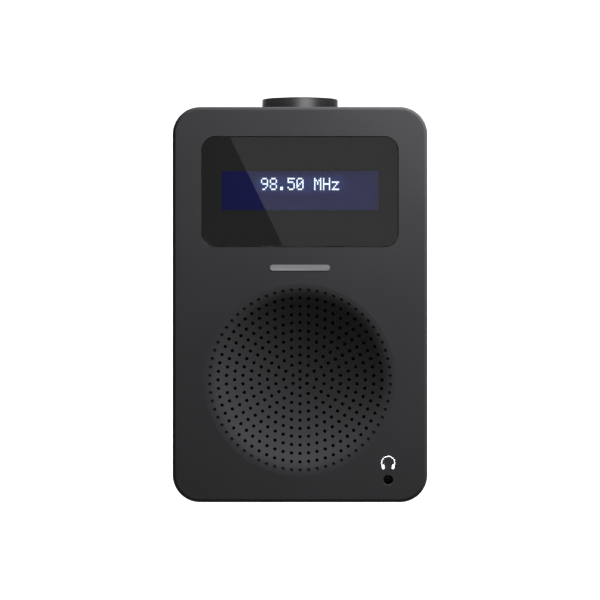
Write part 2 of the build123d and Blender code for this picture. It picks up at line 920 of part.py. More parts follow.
with BuildPart() as dust_cap:
    with BuildSketch(speaker_profile):
        rim_y = cap_y - cap_thickness
        crown_y = rim_y - cap_height
        dome_radius = (cap_radius**2 + cap_height**2) / (2 * cap_height)
        dome_half = asin(cap_radius / dome_radius) / 2
        across_half = dome_radius * sin(dome_half)
        drop_half = dome_radius * (1 - cos(dome_half))
        with BuildLine():
            ThreePointArc((0, crown_y), (across_half, crown_y + drop_half), (cap_radius, rim_y))
            Line((cap_radius, rim_y), (cap_radius, cap_y))
            ThreePointArc(
                (cap_radius, cap_y),
                (across_half, crown_y + drop_half + cap_thickness),
                (0, crown_y + cap_thickness),
            )
            Line((0, crown_y + cap_thickness), (0, crown_y))
        make_face()
    revolve(axis=speaker_axis)
save(dust_cap, "dust_cap")

with BuildPart() as voice_coil:
    with BuildSketch(speaker_profile):
        former_top = cap_y - 0.3
        former_end = bowl_back + top_plate_thickness / 2 + coil_length / 2 + 0.4
        with Locations((former_radius, former_top)):
            Rectangle(former_wall, former_end - former_top, align=(Align.MIN, Align.MIN))
        with Locations((former_radius, former_end - 0.4 - coil_length)):
            Rectangle(
                former_wall + coil_thickness, coil_length, align=(Align.MIN, Align.MIN)
            )
    revolve(axis=speaker_axis)
save(voice_coil, "voice_coil")

with BuildPart() as speaker_surround:
    with BuildSketch(speaker_profile):
        roll_inner = cone_radius + 0.2
        roll_outer = roll_inner + 2 * roll_radius
        roll_middle = roll_inner + roll_radius
        back = surround_front + surround_thickness
        with BuildLine():
            Line((cone_land + 0.2, back), (roll_inner + surround_thickness, back))
            ThreePointArc(
                (roll_inner + surround_thickness, back),
                (roll_middle, back - roll_radius + surround_thickness),
                (roll_outer - surround_thickness, back),
            )
            Polyline(
                (roll_outer - surround_thickness, back),
                (basket_opening + 1.8, back),
                (basket_opening + 1.8, surround_front),
                (roll_outer, surround_front),
            )
            ThreePointArc(
                (roll_outer, surround_front),
                (roll_middle, surround_front - roll_radius),
                (roll_inner, surround_front),
            )
            Polyline(
                (roll_inner, surround_front), (cone_land + 0.2, surround_front), (cone_land + 0.2, back)
            )
        make_face()
    revolve(axis=speaker_axis)
save(speaker_surround, "speaker_surround")

with BuildPart() as speaker_spider:
    with BuildSketch(speaker_profile):
        spider_inner = neck_radius + spider_half
        spider_outer = ledge_outer - 0.6
        wave = (ledge_inner - 0.5 - spider_inner - 1.0) / 4
        with BuildLine():
            Line((spider_inner, spider_y), (spider_inner + 1.0, spider_y))
            for turn in range(4):
                start = spider_inner + 1.0 + turn * wave
                side = 0.35 if turn % 2 else -0.35
                ThreePointArc(
                    (start, spider_y),
                    (start + wave / 2, spider_y + side),
                    (start + wave, spider_y),
                )
            Line((ledge_inner - 0.5, spider_y), (spider_outer, spider_y))
            offset(amount=spider_half, side=Side.BOTH)
        make_face()
    revolve(axis=speaker_axis)
save(speaker_spider, "speaker_spider")

with BuildPart() as speaker_screws:
    with BuildSketch(across(flange_back + touch)):
        with Locations(*speaker_screw_places):
            Circle(2.3)
    extrude(amount=-1.5)
    with BuildSketch(across(flange_back + 1.5)):
        with Locations(*speaker_screw_places):
            Circle(1.1)
    extrude(amount=8.0)
    with BuildSketch(across(flange_back + 1.5 + touch)):
        with Locations(*speaker_screw_places):
            Rectangle(2.6, 0.6)
            Rectangle(0.6, 2.6)
    extrude(amount=0.7, mode=Mode.SUBTRACT)
save(speaker_screws, "speaker_screws")

# ------------------------------------------------------------ headphone socket

jack_body_y = inside_front + 0.1
jack_board_centre = jack_board_front + jack_board_length / 2

with BuildPart() as headphone_jack:
    with BuildSketch(across(jack_body_y)):
        with Locations((jack_x, jack_z)):
            Rectangle(jack_width, jack_width)
    extrude(amount=-jack_body_length)
    with BuildSketch(across(jack_body_y)):
        with Locations((jack_x, jack_z)):
            Circle(jack_nose_radius)
    extrude(amount=jack_body_y - jack_nose_y - touch)
    with BuildSketch(across(jack_nose_y)):
        with Locations((jack_x, jack_z)):
            Circle(jack_bore_radius)
    extrude(amount=-jack_bore_length, mode=Mode.SUBTRACT)
save(headphone_jack, "headphone_jack")

with BuildPart() as jack_board:
    with BuildSketch(level(jack_board_bottom)):
        with Locations((jack_board_x, jack_board_centre)):
            RectangleRounded(jack_board_width, jack_board_length, 1.0)
        with Locations(jack_screw_place):
            Circle(board_hole_radius, mode=Mode.SUBTRACT)
    extrude(amount=jack_board_thickness)
save(jack_board, "jack_board")

# ------------------------------------------------------------ boards and what they carry

main_board_back = main_board_y + board_thickness
main_board_middle = (main_board_bottom + main_board_top) / 2
key_board_bottom = key_board_top - board_thickness
key_board_middle = (key_board_front + key_board_back) / 2
power_board_front = power_board_y - board_thickness
encoder_top = key_board_top + encoder_height
usb_end = power_board_y + usb_length

with BuildPart() as main_board:
    with BuildSketch(across(main_board_y)):
        with Locations((0, main_board_middle)):
            RectangleRounded(main_board_width, main_board_top - main_board_bottom, 1.5)
        with Locations(*main_screw_places):
            Circle(board_hole_radius, mode=Mode.SUBTRACT)
    extrude(amount=-board_thickness)
save(main_board, "main_board")

with BuildPart() as tuner_shield:
    with BuildSketch(across(main_board_y - touch)):
        with Locations((-17.0, 112.0)):
            RectangleRounded(24.0, 18.0, 0.6)
    extrude(amount=3.4)
    with BuildSketch(across(main_board_y - touch)):
        with Locations((-17.0, 112.0)):
            Rectangle(23.2, 17.2)
    extrude(amount=3.0, mode=Mode.SUBTRACT)
    with BuildSketch(across(main_board_y - 3.5)):
        with Locations((-17.0, 112.0)):
            with GridLocations(6.0, 6.0, 3, 2):
                Circle(1.2)
    extrude(amount=-1.0, mode=Mode.SUBTRACT)
save(tuner_shield, "tuner_shield")

with BuildPart() as board_components:
    with BuildSketch(across(main_board_y - touch)):
        with Locations((12.0, 112.0)):
            Rectangle(12.0, 12.0)
        with Locations((-16.0, 94.0)):
            Rectangle(8.0, 8.0)
        with Locations((4.0, 92.0), (10.0, 92.0)):
            Rectangle(3.2, 2.5)
    extrude(amount=1.2)
    with BuildSketch(across(main_board_y - touch)):
        with Locations((28.0, 104.0), (28.0, 112.0), (-29.0, 97.0)):
            Circle(3.0)
    extrude(amount=8.0)
save(board_components, "board_components")

with BuildPart() as key_board:
    with BuildSketch(level(key_board_bottom)):
        with Locations((0, key_board_middle)):
            RectangleRounded(key_board_width, key_board_back - key_board_front, 1.5)
        with Locations(*key_screw_places):
            Circle(board_hole_radius, mode=Mode.SUBTRACT)
    extrude(amount=board_thickness)
save(key_board, "key_board")

with BuildPart() as power_board:
    with BuildSketch(across(power_board_front)):
        with Locations((power_board_x, power_board_z)):
            Rectangle(power_board_width, power_board_height)
        with Locations(*power_screw_places):
            Circle(board_hole_radius, mode=Mode.SUBTRACT)
    extrude(amount=-board_thickness)
save(power_board, "power_board")

with BuildPart() as usb_socket:
    with BuildSketch(across(power_board_y + touch)):
        with Locations((power_board_x, power_board_z)):
            RectangleRounded(usb_width, usb_height, usb_height / 2 - 0.05)
    extrude(amount=-(usb_end - power_board_y - touch))
    with BuildSketch(across(usb_end)):
        with Locations((power_board_x, power_board_z)):
            RectangleRounded(
                usb_width - 2 * usb_wall,
                usb_height - 2 * usb_wall,
                usb_height / 2 - usb_wall - 0.05,
            )
            Rectangle(6.7, 0.7, mode=Mode.SUBTRACT)
    extrude(amount=usb_length - 1.2, mode=Mode.SUBTRACT)
save(usb_socket, "usb_socket")

# small screws that hold the boards, each a head and a shank with a crossed slot
with BuildPart() as board_screws:
    with BuildSketch(across(display_board_y + board_thickness + touch)):
        with Locations(*display_screw_places):
            Circle(board_screw_head)
    extrude(amount=-board_head_height)
    with BuildSketch(across(display_board_y + board_thickness + 0.5)):
        with Locations(*display_screw_places):
            Circle(board_screw_shank)
    extrude(amount=board_screw_length + 0.5)
    with BuildSketch(across(main_board_y - touch)):
        with Locations(*main_screw_places):
            Circle(board_screw_head)
    extrude(amount=board_head_height)
    with BuildSketch(across(main_board_y - 0.5)):
        with Locations(*main_screw_places):
            Circle(board_screw_shank)
    extrude(amount=-(board_screw_length + 0.5))
    with BuildSketch(across(power_board_front - touch)):
        with Locations(*power_screw_places):
            Circle(board_screw_head)
    extrude(amount=board_head_height)
    with BuildSketch(across(power_board_front - 0.5)):
        with Locations(*power_screw_places):
            Circle(board_screw_shank)
    extrude(amount=-(board_screw_length + 0.5))
    with BuildSketch(level(key_board_bottom - touch)):
        with Locations(*key_screw_places):
            Circle(board_screw_head)
    extrude(amount=-board_head_height)
    with BuildSketch(level(key_board_bottom - 0.5)):
        with Locations(*key_screw_places):
            Circle(board_screw_shank)
    extrude(amount=board_screw_length + 0.5)
    with BuildSketch(level(jack_board_top + touch)):
        with Locations(jack_screw_place):
            Circle(board_screw_head)
    extrude(amount=board_head_height)
    with BuildSketch(level(jack_board_top + 0.5)):
        with Locations(jack_screw_place):
            Circle(board_screw_shank)
    extrude(amount=-(board_screw_length - 0.4))
save(board_screws, "board_screws")

# ------------------------------------------------------------ knob and encoder

cavity_bottom = key_board_top + 0.6
push_rod_bottom = cavity_bottom + push_travel + 0.1
shaft_bottom = push_rod_bottom + 1.0
cavity_top = shaft_bottom + 2.0
knob_top_z = top_z + knob_stand
knob_bottom = knob_top_z - knob_height
knob_ceiling = knob_top_z - knob_top
hub_bottom = knob_bottom + push_travel
bushing_top = hub_bottom - push_travel - 0.3
shaft_top = knob_ceiling + 0.7
cap_depth = 0.6
knob_cap_radius = knob_radius - 1.95

with BuildPart() as encoder_body:
    with BuildSketch(level(key_board_top + touch)):
        with Locations((0, knob_y)):
            RectangleRounded(encoder_size, encoder_size, 0.6)
    extrude(amount=encoder_height - touch)
    with BuildSketch(level(encoder_top)):
        with Locations((0, knob_y)):
            Circle(bushing_radius)
    extrude(amount=bushing_top - encoder_top)
    with BuildSketch(level(cavity_bottom)):
        with Locations((0, knob_y)):
            Circle(rotor_radius + 0.3)
    extrude(amount=cavity_top - cavity_bottom, mode=Mode.SUBTRACT)
    with BuildSketch(level(cavity_top)):
        with Locations((0, knob_y)):
            Circle(shaft_radius + shaft_clearance)
    extrude(amount=bushing_top - cavity_top, mode=Mode.SUBTRACT)
save(encoder_body, "encoder_body")

with BuildPart() as encoder_push_rod:
    with BuildSketch(level(push_rod_bottom)):
        with Locations((0, knob_y)):
            Circle(shaft_radius - 0.8)
    extrude(amount=shaft_bottom - push_rod_bottom - touch)
save(encoder_push_rod, "encoder_push_rod")

with BuildPart() as encoder_shaft:
    with BuildSketch(level(shaft_bottom)):
        with Locations((0, knob_y)):
            Circle(rotor_radius)
    extrude(amount=1.0)
    with BuildSketch(level(shaft_bottom)):
        with Locations((0, knob_y)):
            Circle(shaft_radius)
    extrude(amount=shaft_top - shaft_bottom)
    # flat on the upper end that turns the shaft with the knob
    with BuildSketch(level(hub_bottom)):
        with Locations((0, knob_y + shaft_flat)):
            Rectangle(2 * shaft_radius, shaft_radius, align=(Align.CENTER, Align.MIN))
    extrude(amount=shaft_top - hub_bottom, mode=Mode.SUBTRACT)
save(encoder_shaft, "encoder_shaft")

with BuildPart() as knob:
    with BuildSketch(level(knob_bottom)):
        with Locations((0, knob_y)):
            Circle(knob_radius)
    extrude(amount=knob_height)
    fillet(knob.faces().sort_by(Axis.Z)[-1].edges(), knob_edge)
    with BuildSketch(level(knob_bottom)):
        with Locations((0, knob_y)):
            Circle(knob_radius - knob_wall)
    extrude(amount=knob_ceiling - knob_bottom, mode=Mode.SUBTRACT)
    with BuildSketch(level(hub_bottom)):
        with Locations((0, knob_y)):
            Circle(knob_hub_radius)
    extrude(amount=knob_ceiling - hub_bottom + 0.1)
    with BuildSketch(level(hub_bottom)):
        with Locations((0, knob_y)):
            Circle(shaft_radius + touch)
        with Locations((0, knob_y + shaft_flat + touch)):
            Rectangle(
                2 * knob_hub_radius,
                shaft_radius,
                align=(Align.CENTER, Align.MIN),
                mode=Mode.SUBTRACT,
            )
    extrude(amount=shaft_top + touch - hub_bottom, mode=Mode.SUBTRACT)
    with BuildSketch(level(knob_top_z)):
        with Locations((0, knob_y)):
            Circle(knob_cap_radius + touch)
    extrude(amount=-cap_depth, mode=Mode.SUBTRACT)
save(knob, "knob")

with BuildPart() as knob_cap:
    with BuildSketch(level(knob_top_z - cap_depth + touch)):
        with Locations((0, knob_y)):
            Circle(knob_cap_radius)
    extrude(amount=cap_depth - touch)
    chamfer(knob_cap.faces().sort_by(Axis.Z)[-1].edges(), 0.15)
save(knob_cap, "knob_cap")

# ------------------------------------------------------------ keys

switch_top = key_board_top + switch_height
plunger_top = switch_top + plunger_stand
flange_top = inside_top - 0.1
key_leg_bottom = plunger_top + key_travel + touch

with BuildPart() as key_switches:
    with BuildSketch(level(key_board_top + touch)):
        with Locations(*key_places):
            RectangleRounded(switch_size, switch_size, 0.5)
    extrude(amount=switch_height - touch)
    with BuildSketch(level(switch_top)):
        with Locations(*key_places):
            Circle(plunger_radius)
    extrude(amount=plunger_stand)
save(key_switches, "key_switches")

key_labels = ["menu_key", "power_key", "preset_key", "mode_key"]
for label, place in zip(key_labels, key_places):
    with BuildPart() as key:
        with BuildSketch(level(top_z + key_stand)):
            with Locations(place):
                RectangleRounded(key_width, key_length, key_radius)
        extrude(amount=-(top_z + key_stand - flange_top + 0.1))
        fillet(key.faces().sort_by(Axis.Z)[-1].edges(), key_edge)
        with BuildSketch(level(flange_top)):
            with Locations(place):
                RectangleRounded(
                    key_width + 2 * key_flange, key_length + 2 * key_flange, key_radius
                )
        extrude(amount=-key_flange_thickness)
        with BuildSketch(level(flange_top - key_flange_thickness)):
            with Locations(place):
                Circle(key_leg_radius)
        extrude(amount=-(flange_top - key_flange_thickness - key_leg_bottom))
    save(key, label)

# ------------------------------------------------------------ batteries

cell_places = [((n - (cell_count - 1) / 2) * cell_pitch, cell_y) for n in range(cell_count)]
spring_base = bay_floor + contact_thickness
spring_ceiling = bay_top - contact_thickness
upright_cells = cell_places[0::2]
inverted_cells = cell_places[1::2]
half_pitch = cell_pitch / 2
single_top = cell_places[0::3]

with BuildPart() as battery_cells:
    with BuildSketch(level(spring_base + spring_length)):
        with Locations(*upright_cells):
            Circle(cell_radius)
    extrude(amount=cell_length - cell_nub_length)
    with BuildSketch(level(spring_ceiling - touch)):
        with Locations(*upright_cells):
            Circle(cell_nub_radius)
    extrude(amount=-(cell_nub_length + touch))
    with BuildSketch(level(spring_ceiling - spring_length)):
        with Locations(*inverted_cells):
            Circle(cell_radius)
    extrude(amount=-(cell_length - cell_nub_length))
    with BuildSketch(level(spring_base + touch)):
        with Locations(*inverted_cells):
            Circle(cell_nub_radius)
    extrude(amount=cell_nub_length + touch)
save(battery_cells, "battery_cells")

with BuildPart() as battery_contacts:
    with BuildSketch(level(bay_floor)):
        with Locations((-cell_pitch, cell_y), (cell_pitch, cell_y)):
            RectangleRounded(cell_pitch + contact_width, contact_width, 1.5)
    extrude(amount=contact_thickness)
    with BuildSketch(level(spring_ceiling)):
        with Locations((0, cell_y)):
            RectangleRounded(cell_pitch + contact_width, contact_width, 1.5)
        with Locations(*single_top):
            RectangleRounded(contact_width, contact_width, 1.5)
    extrude(amount=contact_thickness - touch)
    with BuildSketch(level(spring_ceiling)):
        with Locations(*single_top):
            Rectangle(3.0, contact_thickness)
    extrude(amount=contact_thickness + bay_wall + 3.0)
save(battery_contacts, "battery_contacts")

spring_top = spring_length - touch
spring_inner_half = spring_half_span - spring_sheet

with BuildPart() as one_spring:
    with BuildSketch(Plane.XZ):
        with BuildLine():
            ThreePointArc((-spring_half_span, touch), (0, spring_top), (spring_half_span, touch))
            Line((spring_half_span, touch), (spring_inner_half, touch))
            ThreePointArc(
                (spring_inner_half, touch),
                (0, spring_top - spring_sheet),
                (-spring_inner_half, touch),
            )
            Line((-spring_inner_half, touch), (-spring_half_span, touch))
        make_face()
    extrude(amount=spring_width / 2, both=True)

spring_seats = [Location((place[0], place[1], spring_base)) for place in upright_cells]
spring_seats += [
    Location((place[0], place[1], spring_ceiling), (180, 0, 0)) for place in inverted_cells
]

with BuildPart() as battery_springs:
    with Locations(*spring_seats):
        add(one_spring.part)
save(battery_springs, "battery_springs")

with BuildPart() as battery_door:
    with BuildSketch(across(door_inner_y)):
        door_outline(door_axis_z)
    extrude(amount=-door_thickness)
    with BuildSketch(upright(0)):
        with Locations((door_axis_y, door_axis_z)):
            Circle(door_thickness / 2)
    extrude(amount=door_width / 2, both=True)
    with BuildSketch(upright(0)):
        with Locations((door_axis_y, door_axis_z)):
            Circle(door_pin_radius)
    extrude(amount=door_width / 2 + door_gap + door_pin_length - 0.1, both=True)
    # slits either side of the springy latch, and ribs to grip it by
    with BuildSketch(across(back_y)):
        with Locations(
            (-latch_width / 2, door_top - latch_length), (latch_width / 2, door_top - latch_length)
        ):
            Rectangle(latch_slit, latch_length - 2.0, align=(Align.CENTER, Align.MIN))
    extrude(amount=door_thickness, mode=Mode.SUBTRACT)
    with BuildSketch(across(back_y)):
        with Locations((0, door_top - latch_length / 2)):
            with GridLocations(0, 1.6, 1, 4):
                SlotOverall(latch_width - 5.0, 0.8)
    extrude(amount=0.5, mode=Mode.SUBTRACT)
save(battery_door, "battery_door")

# ------------------------------------------------------------ antenna

pivot = Plane(origin=(antenna_x, antenna_y, antenna_z), x_dir=(1, 0, 0), z_dir=(0, -1, 0))
slot_half = tongue_thickness / 2 + 0.1
swivel_bottom = notch_floor + touch
swivel_top = swivel_bottom + swivel_base
stud_bottom = notch_floor - wall - 0.1
ferrule_start = antenna_x + ear_radius + 2.0
tube_start = ferrule_start + ferrule_length
rod_radius = section_radii[-1] - (section_radii[0] - section_radii[1])
section_step = section_radii[0] - section_radii[1]
section_stagger = 0.2

with BuildPart() as antenna_swivel:
    with BuildSketch(level(swivel_bottom)):
        with Locations((antenna_x, antenna_y)):
            Circle(swivel_radius)
    extrude(amount=swivel_base)
    with BuildSketch(level(swivel_bottom)):
        with Locations((antenna_x, antenna_y)):
            Circle(stud_radius)
    extrude(amount=-(swivel_bottom - stud_bottom))
    # two ears, with the slot between them for the knuckle
    with BuildSketch(pivot):
        Circle(ear_radius)
        with Locations((0, (swivel_top - antenna_z) / 2)):
            Rectangle(2 * ear_radius, antenna_z - swivel_top + 0.1)
    extrude(amount=slot_half + ear_thickness, both=True)
    with BuildSketch(pivot):
        with Locations((0, swivel_top - antenna_z)):
            Rectangle(3 * swivel_radius, 3 * ear_radius, align=(Align.CENTER, Align.MIN))
    extrude(amount=slot_half, both=True, mode=Mode.SUBTRACT)
    with BuildSketch(pivot):
        Circle(antenna_pin_radius + touch)
    extrude(amount=slot_half + ear_thickness, both=True, mode=Mode.SUBTRACT)
    with BuildSketch(level(stud_bottom)):
        with Locations((antenna_x, antenna_y)):
            Circle(stud_screw_radius + touch)
    extrude(amount=wall + 0.6, mode=Mode.SUBTRACT)
save(antenna_swivel, "antenna_swivel")

with BuildPart() as antenna_pin:
    with BuildSketch(pivot):
        Circle(antenna_pin_radius)
    extrude(amount=slot_half + ear_thickness + 0.1, both=True)
save(antenna_pin, "antenna_pin")

with BuildPart() as antenna_screw:
    with BuildSketch(level(stud_bottom - touch)):
        with Locations((antenna_x, antenna_y)):
            Circle(stud_flange_radius)
    extrude(amount=-1.2)
    with BuildSketch(level(stud_bottom - touch)):
        with Locations((antenna_x, antenna_y)):
            Circle(stud_screw_radius)
    extrude(amount=wall + 0.5)
    with BuildSketch(level(stud_bottom - touch - 1.2)):
        with Locations((antenna_x, antenna_y)):
            Rectangle(3.0, 0.6)
            Rectangle(0.6, 3.0)
    extrude(amount=0.7, mode=Mode.SUBTRACT)
save(antenna_screw, "antenna_screw")

with BuildPart() as antenna_knuckle:
    with BuildSketch(pivot):
        Circle(ear_radius - 0.1)
        Rectangle(
            ferrule_start - antenna_x + 0.5,
            2 * (ear_radius - 0.1),
            align=(Align.MIN, Align.CENTER),
        )
    extrude(amount=tongue_thickness / 2, both=True)
    with BuildSketch(upright(ferrule_start)):
        with Locations((antenna_y, antenna_z)):
            Circle(section_radii[0] + 0.1)
    extrude(amount=ferrule_length)
    with BuildSketch(pivot):
        Circle(antenna_pin_radius + touch)
    extrude(amount=tongue_thickness, both=True, mode=Mode.SUBTRACT)
save(antenna_knuckle, "antenna_knuckle")

for number, radius in enumerate(section_radii, start=1):
    with BuildPart() as antenna_tube:
        with BuildSketch(upright(tube_start + touch + (number - 1) * section_stagger)):
            with Locations((antenna_y, antenna_z)):
                Circle(radius)
                Circle(radius - section_step + section_gap, mode=Mode.SUBTRACT)
        extrude(amount=section_length)
    save(antenna_tube, f"antenna_tube_{number}")

rod_start = tube_start + touch + len(section_radii) * section_stagger
with BuildPart() as antenna_rod:
    with BuildSketch(upright(rod_start)):
        with Locations((antenna_y, antenna_z)):
            Circle(rod_radius)
    extrude(amount=section_length)
save(antenna_rod, "antenna_rod")

with BuildPart() as antenna_tip:
    with BuildSketch(upright(rod_start + section_length)):
        with Locations((antenna_y, antenna_z)):
            Circle(tip_radius)
    extrude(amount=tip_length)
    fillet(antenna_tip.faces().sort_by(Axis.X)[-1].edges(), 1.0)
save(antenna_tip, "antenna_tip")

# ------------------------------------------------------------ leads and ribbons

with BuildPart() as audio_leads:
    # two from the speaker's terminals, two from the headphone board
    for x in (-4.0, 4.0):
        with BuildLine() as run:
            FilletPolyline(
                (x, (spider_ledge + bowl_back) / 2 + 0.5, dish_height + ledge_inner + 3.0 + touch),
                (x, (spider_ledge + bowl_back) / 2 + 0.5, main_board_bottom - 5.0),
                (x, main_board_y - 4.0, main_board_bottom + 4.0),
                (x, main_board_y - touch, main_board_bottom + 4.0),
                radius=1.5,
            )
        with BuildSketch(Plane(origin=run.line @ 0, z_dir=run.line % 0)):
            Circle(lead_radius)
        sweep()
    for x in (24.0, 27.0):
        with BuildLine() as run:
            FilletPolyline(
                (x, jack_board_front + jack_board_length - 2.0, jack_board_top + touch),
                (x, jack_board_front + jack_board_length - 2.0, jack_board_top + 4.0),
                (x, yoke_back + 3.0, jack_board_top + 4.0),
                (x, yoke_back + 3.0, main_board_bottom - 4.0),
                (x, main_board_y - 4.0, main_board_bottom + 2.0),
                (x, main_board_y - touch, main_board_bottom + 2.0),
                radius=1.5,
            )
        with BuildSketch(Plane(origin=run.line @ 0, z_dir=run.line % 0)):
            Circle(lead_radius)
        sweep()
save(audio_leads, "audio_leads")

with BuildPart() as power_leads:
    # two from the batteries, two from the power board
    for place in single_top:
        with BuildLine() as run:
            FilletPolyline(
                (place[0], cell_y, bay_top + bay_wall + 3.0),
                (place[0], cell_y, main_board_bottom + 10.0),
                (place[0], main_board_back + touch, main_board_bottom + 10.0),
                radius=3.0,
            )
        with BuildSketch(Plane(origin=run.line @ 0, z_dir=run.line % 0)):
            Circle(lead_radius)
        sweep()
    for x in (power_board_x + 1.8, power_board_x + 3.6):
        with BuildLine() as run:
            FilletPolyline(
                (x, power_board_front - touch, power_board_z),
                (x, power_board_front - 6.0, power_board_z),
                (x, power_board_front - 6.0, main_board_bottom + 14.0),
                (x + 4.5, main_board_back + 3.0, main_board_bottom + 14.0),
                (x + 4.5, main_board_back + touch, main_board_bottom + 14.0),
                radius=1.8,
            )
        with BuildSketch(Plane(origin=run.line @ 0, z_dir=run.line % 0)):
            Circle(lead_radius)
        sweep()
save(power_leads, "power_leads")

with BuildPart() as antenna_lead:
    with BuildLine() as run:
        FilletPolyline(
            (antenna_x + stud_flange_radius + 0.1, antenna_y, stud_bottom - lead_radius - touch),
            (antenna_x + 10.5, antenna_y, stud_bottom - lead_radius - touch),
            (antenna_x + 10.5, antenna_y, main_board_top - 10.0),
            (antenna_x + 10.5, main_board_back + touch, main_board_top - 10.0),
            radius=2.0,
        )
    with BuildSketch(Plane(origin=run.line @ 0, z_dir=run.line % 0)):
        Circle(lead_radius)
    sweep()
save(antenna_lead, "antenna_lead")

with BuildPart() as ribbon_cables:
    # from the display board and from the key board to the main board
    display_board_back = display_board_y + board_thickness
    with BuildLine() as run:
        FilletPolyline(
            (ribbon_x, display_board_back + touch, view_centre - 8.0),
            (ribbon_x, display_board_back + 4.0, view_centre - 8.0),
            (ribbon_x, display_board_back + 4.0, view_centre - 20.0),
            (ribbon_x, main_board_y - touch, view_centre - 20.0),
            radius=1.9,
        )
    with BuildSketch(Plane(origin=run.line @ 0, x_dir=(1, 0, 0), z_dir=run.line % 0)):
        Rectangle(ribbon_width, ribbon_thickness)
    sweep()
    with BuildLine() as run:
        FilletPolyline(
            (-ribbon_x, main_board_y - 6.0, key_board_bottom - touch),
            (-ribbon_x, main_board_y - 6.0, main_board_top - 3.0),
            (-ribbon_x, main_board_y - touch, main_board_top - 3.0),
            radius=2.0,
        )
    with BuildSketch(Plane(origin=run.line @ 0, x_dir=(1, 0, 0), z_dir=run.line % 0)):
        Rectangle(ribbon_width, ribbon_thickness)
    sweep()
save(ribbon_cables, "ribbon_cables")

# ------------------------------------------------------------ feet and case screws

with BuildPart() as feet:
    with BuildSketch(level(0)):
        with Locations(*foot_places):
            Circle(foot_radius)
    extrude(amount=foot_projection + foot_recess - touch)
    fillet(feet.faces().group_by(Axis.Z)[0].edges(), foot_edge)
save(feet, "feet")

with BuildPart() as case_screws:
    with BuildSketch(across(case_seat_y + touch)):
        with Locations(*case_screw_places):
            Circle(case_boss_radius - 1.3)
    extrude(amount=-case_head_height)
    with BuildSketch(across(case_seat_y + case_head_height)):
        with Locations(*case_screw_places):
            Circle(1.2)
    extrude(amount=case_head_height + case_screw_length)
    with BuildSketch(across(case_seat_y + case_head_height + touch)):
        with Locations(*case_screw_places):
            Rectangle(3.0, 0.7)
            Rectangle(0.7, 3.0)
    extrude(amount=1.0, mode=Mode.SUBTRACT)
save(case_screws, "case_screws")
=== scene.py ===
import math

import bpy
from mathutils import Matrix, Vector


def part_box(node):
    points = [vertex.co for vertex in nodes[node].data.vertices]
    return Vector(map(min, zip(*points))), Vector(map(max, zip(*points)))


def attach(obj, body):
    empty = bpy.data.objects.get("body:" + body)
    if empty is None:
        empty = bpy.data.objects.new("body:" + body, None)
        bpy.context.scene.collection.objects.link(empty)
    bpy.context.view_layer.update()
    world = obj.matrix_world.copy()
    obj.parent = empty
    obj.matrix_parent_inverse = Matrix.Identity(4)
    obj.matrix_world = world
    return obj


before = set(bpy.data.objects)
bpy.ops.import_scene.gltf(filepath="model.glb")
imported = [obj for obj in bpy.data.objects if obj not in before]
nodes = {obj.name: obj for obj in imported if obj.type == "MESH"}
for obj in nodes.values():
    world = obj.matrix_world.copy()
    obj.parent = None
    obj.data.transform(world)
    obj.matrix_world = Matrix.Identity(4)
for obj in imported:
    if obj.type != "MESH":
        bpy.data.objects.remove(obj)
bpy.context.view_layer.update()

mm = 0.001


# small helpers

def deselectAll():
    if bpy.context.object and bpy.context.object.mode != 'OBJECT':
        bpy.ops.object.mode_set(mode='OBJECT')
    bpy.ops.object.select_all(action='DESELECT')


def pick(piece):
    deselectAll()
    piece.select_set(True)
    bpy.context.view_layer.objects.active = piece


def settle(piece):
    # place, turn and scale go into the mesh, the object stays at the origin
    pick(piece)
    bpy.ops.object.transform_apply(location=True, rotation=True, scale=True)


def joinPieces(pieces, name):
    deselectAll()
    for piece in pieces:
        piece.select_set(True)
    bpy.context.view_layer.objects.active = pieces[0]
    if len(pieces) > 1:
        bpy.ops.object.join()
    joined = bpy.context.object
    joined.name = name
    joined.data.name = name
    settle(joined)
    return joined


def keepFaces(piece, test):
    # edit mode with only the faces that pass the test selected
    pick(piece)
    bpy.ops.object.mode_set(mode='EDIT')
    bpy.ops.mesh.select_mode(type='FACE')
    bpy.ops.mesh.select_all(action='DESELECT')
    bpy.ops.object.mode_set(mode='OBJECT')
    for face in piece.data.polygons:
        face.select = test(face)
    bpy.ops.object.mode_set(mode='EDIT')


def leaveEdit():
    bpy.ops.object.mode_set(mode='OBJECT')


def paint(piece, finish):
    piece.data.materials.clear()
    piece.data.materials.append(finish)


def paintNode(name, finish):
    piece = nodes[name]
    if not piece.material_slots:
        piece.data.materials.append(finish)
    for place in piece.material_slots:
        place.material = finish


# finishes

def newFinish(name):
    finish = bpy.data.materials.new(name)
    finish.use_nodes = True
    tree = finish.node_tree
    shader = tree.nodes["Principled BSDF"]
    return finish, tree, shader


def objectPlace(tree, scale=(1, 1, 1), move=(0, 0, 0)):
    # object coordinates, moved and then scaled
    coords = tree.nodes.new('ShaderNodeTexCoord')
    place = tree.nodes.new('ShaderNodeMapping')
    place.vector_type = 'POINT'
    place.inputs['Scale'].default_value = scale
    place.inputs['Location'].default_value = [m * s for m, s in zip(move, scale)]
    tree.links.new(coords.outputs['Object'], place.inputs['Vector'])
    return place.outputs['Vector']


def addNoise(tree, where, scale, detail=2.0, rough=0.5):
    noise = tree.nodes.new('ShaderNodeTexNoise')
    noise.inputs['Scale'].default_value = scale
    noise.inputs['Detail'].default_value = detail
    noise.inputs['Roughness'].default_value = rough
    tree.links.new(where, noise.inputs['Vector'])
    return noise.outputs['Fac']


def addRange(tree, value, low, high, fromLow=0.3, fromHigh=0.7):
    spread = tree.nodes.new('ShaderNodeMapRange')
    spread.inputs['From Min'].default_value = fromLow
    spread.inputs['From Max'].default_value = fromHigh
    spread.inputs['To Min'].default_value = low
    spread.inputs['To Max'].default_value = high
    tree.links.new(value, spread.inputs['Value'])
    return spread.outputs['Result']


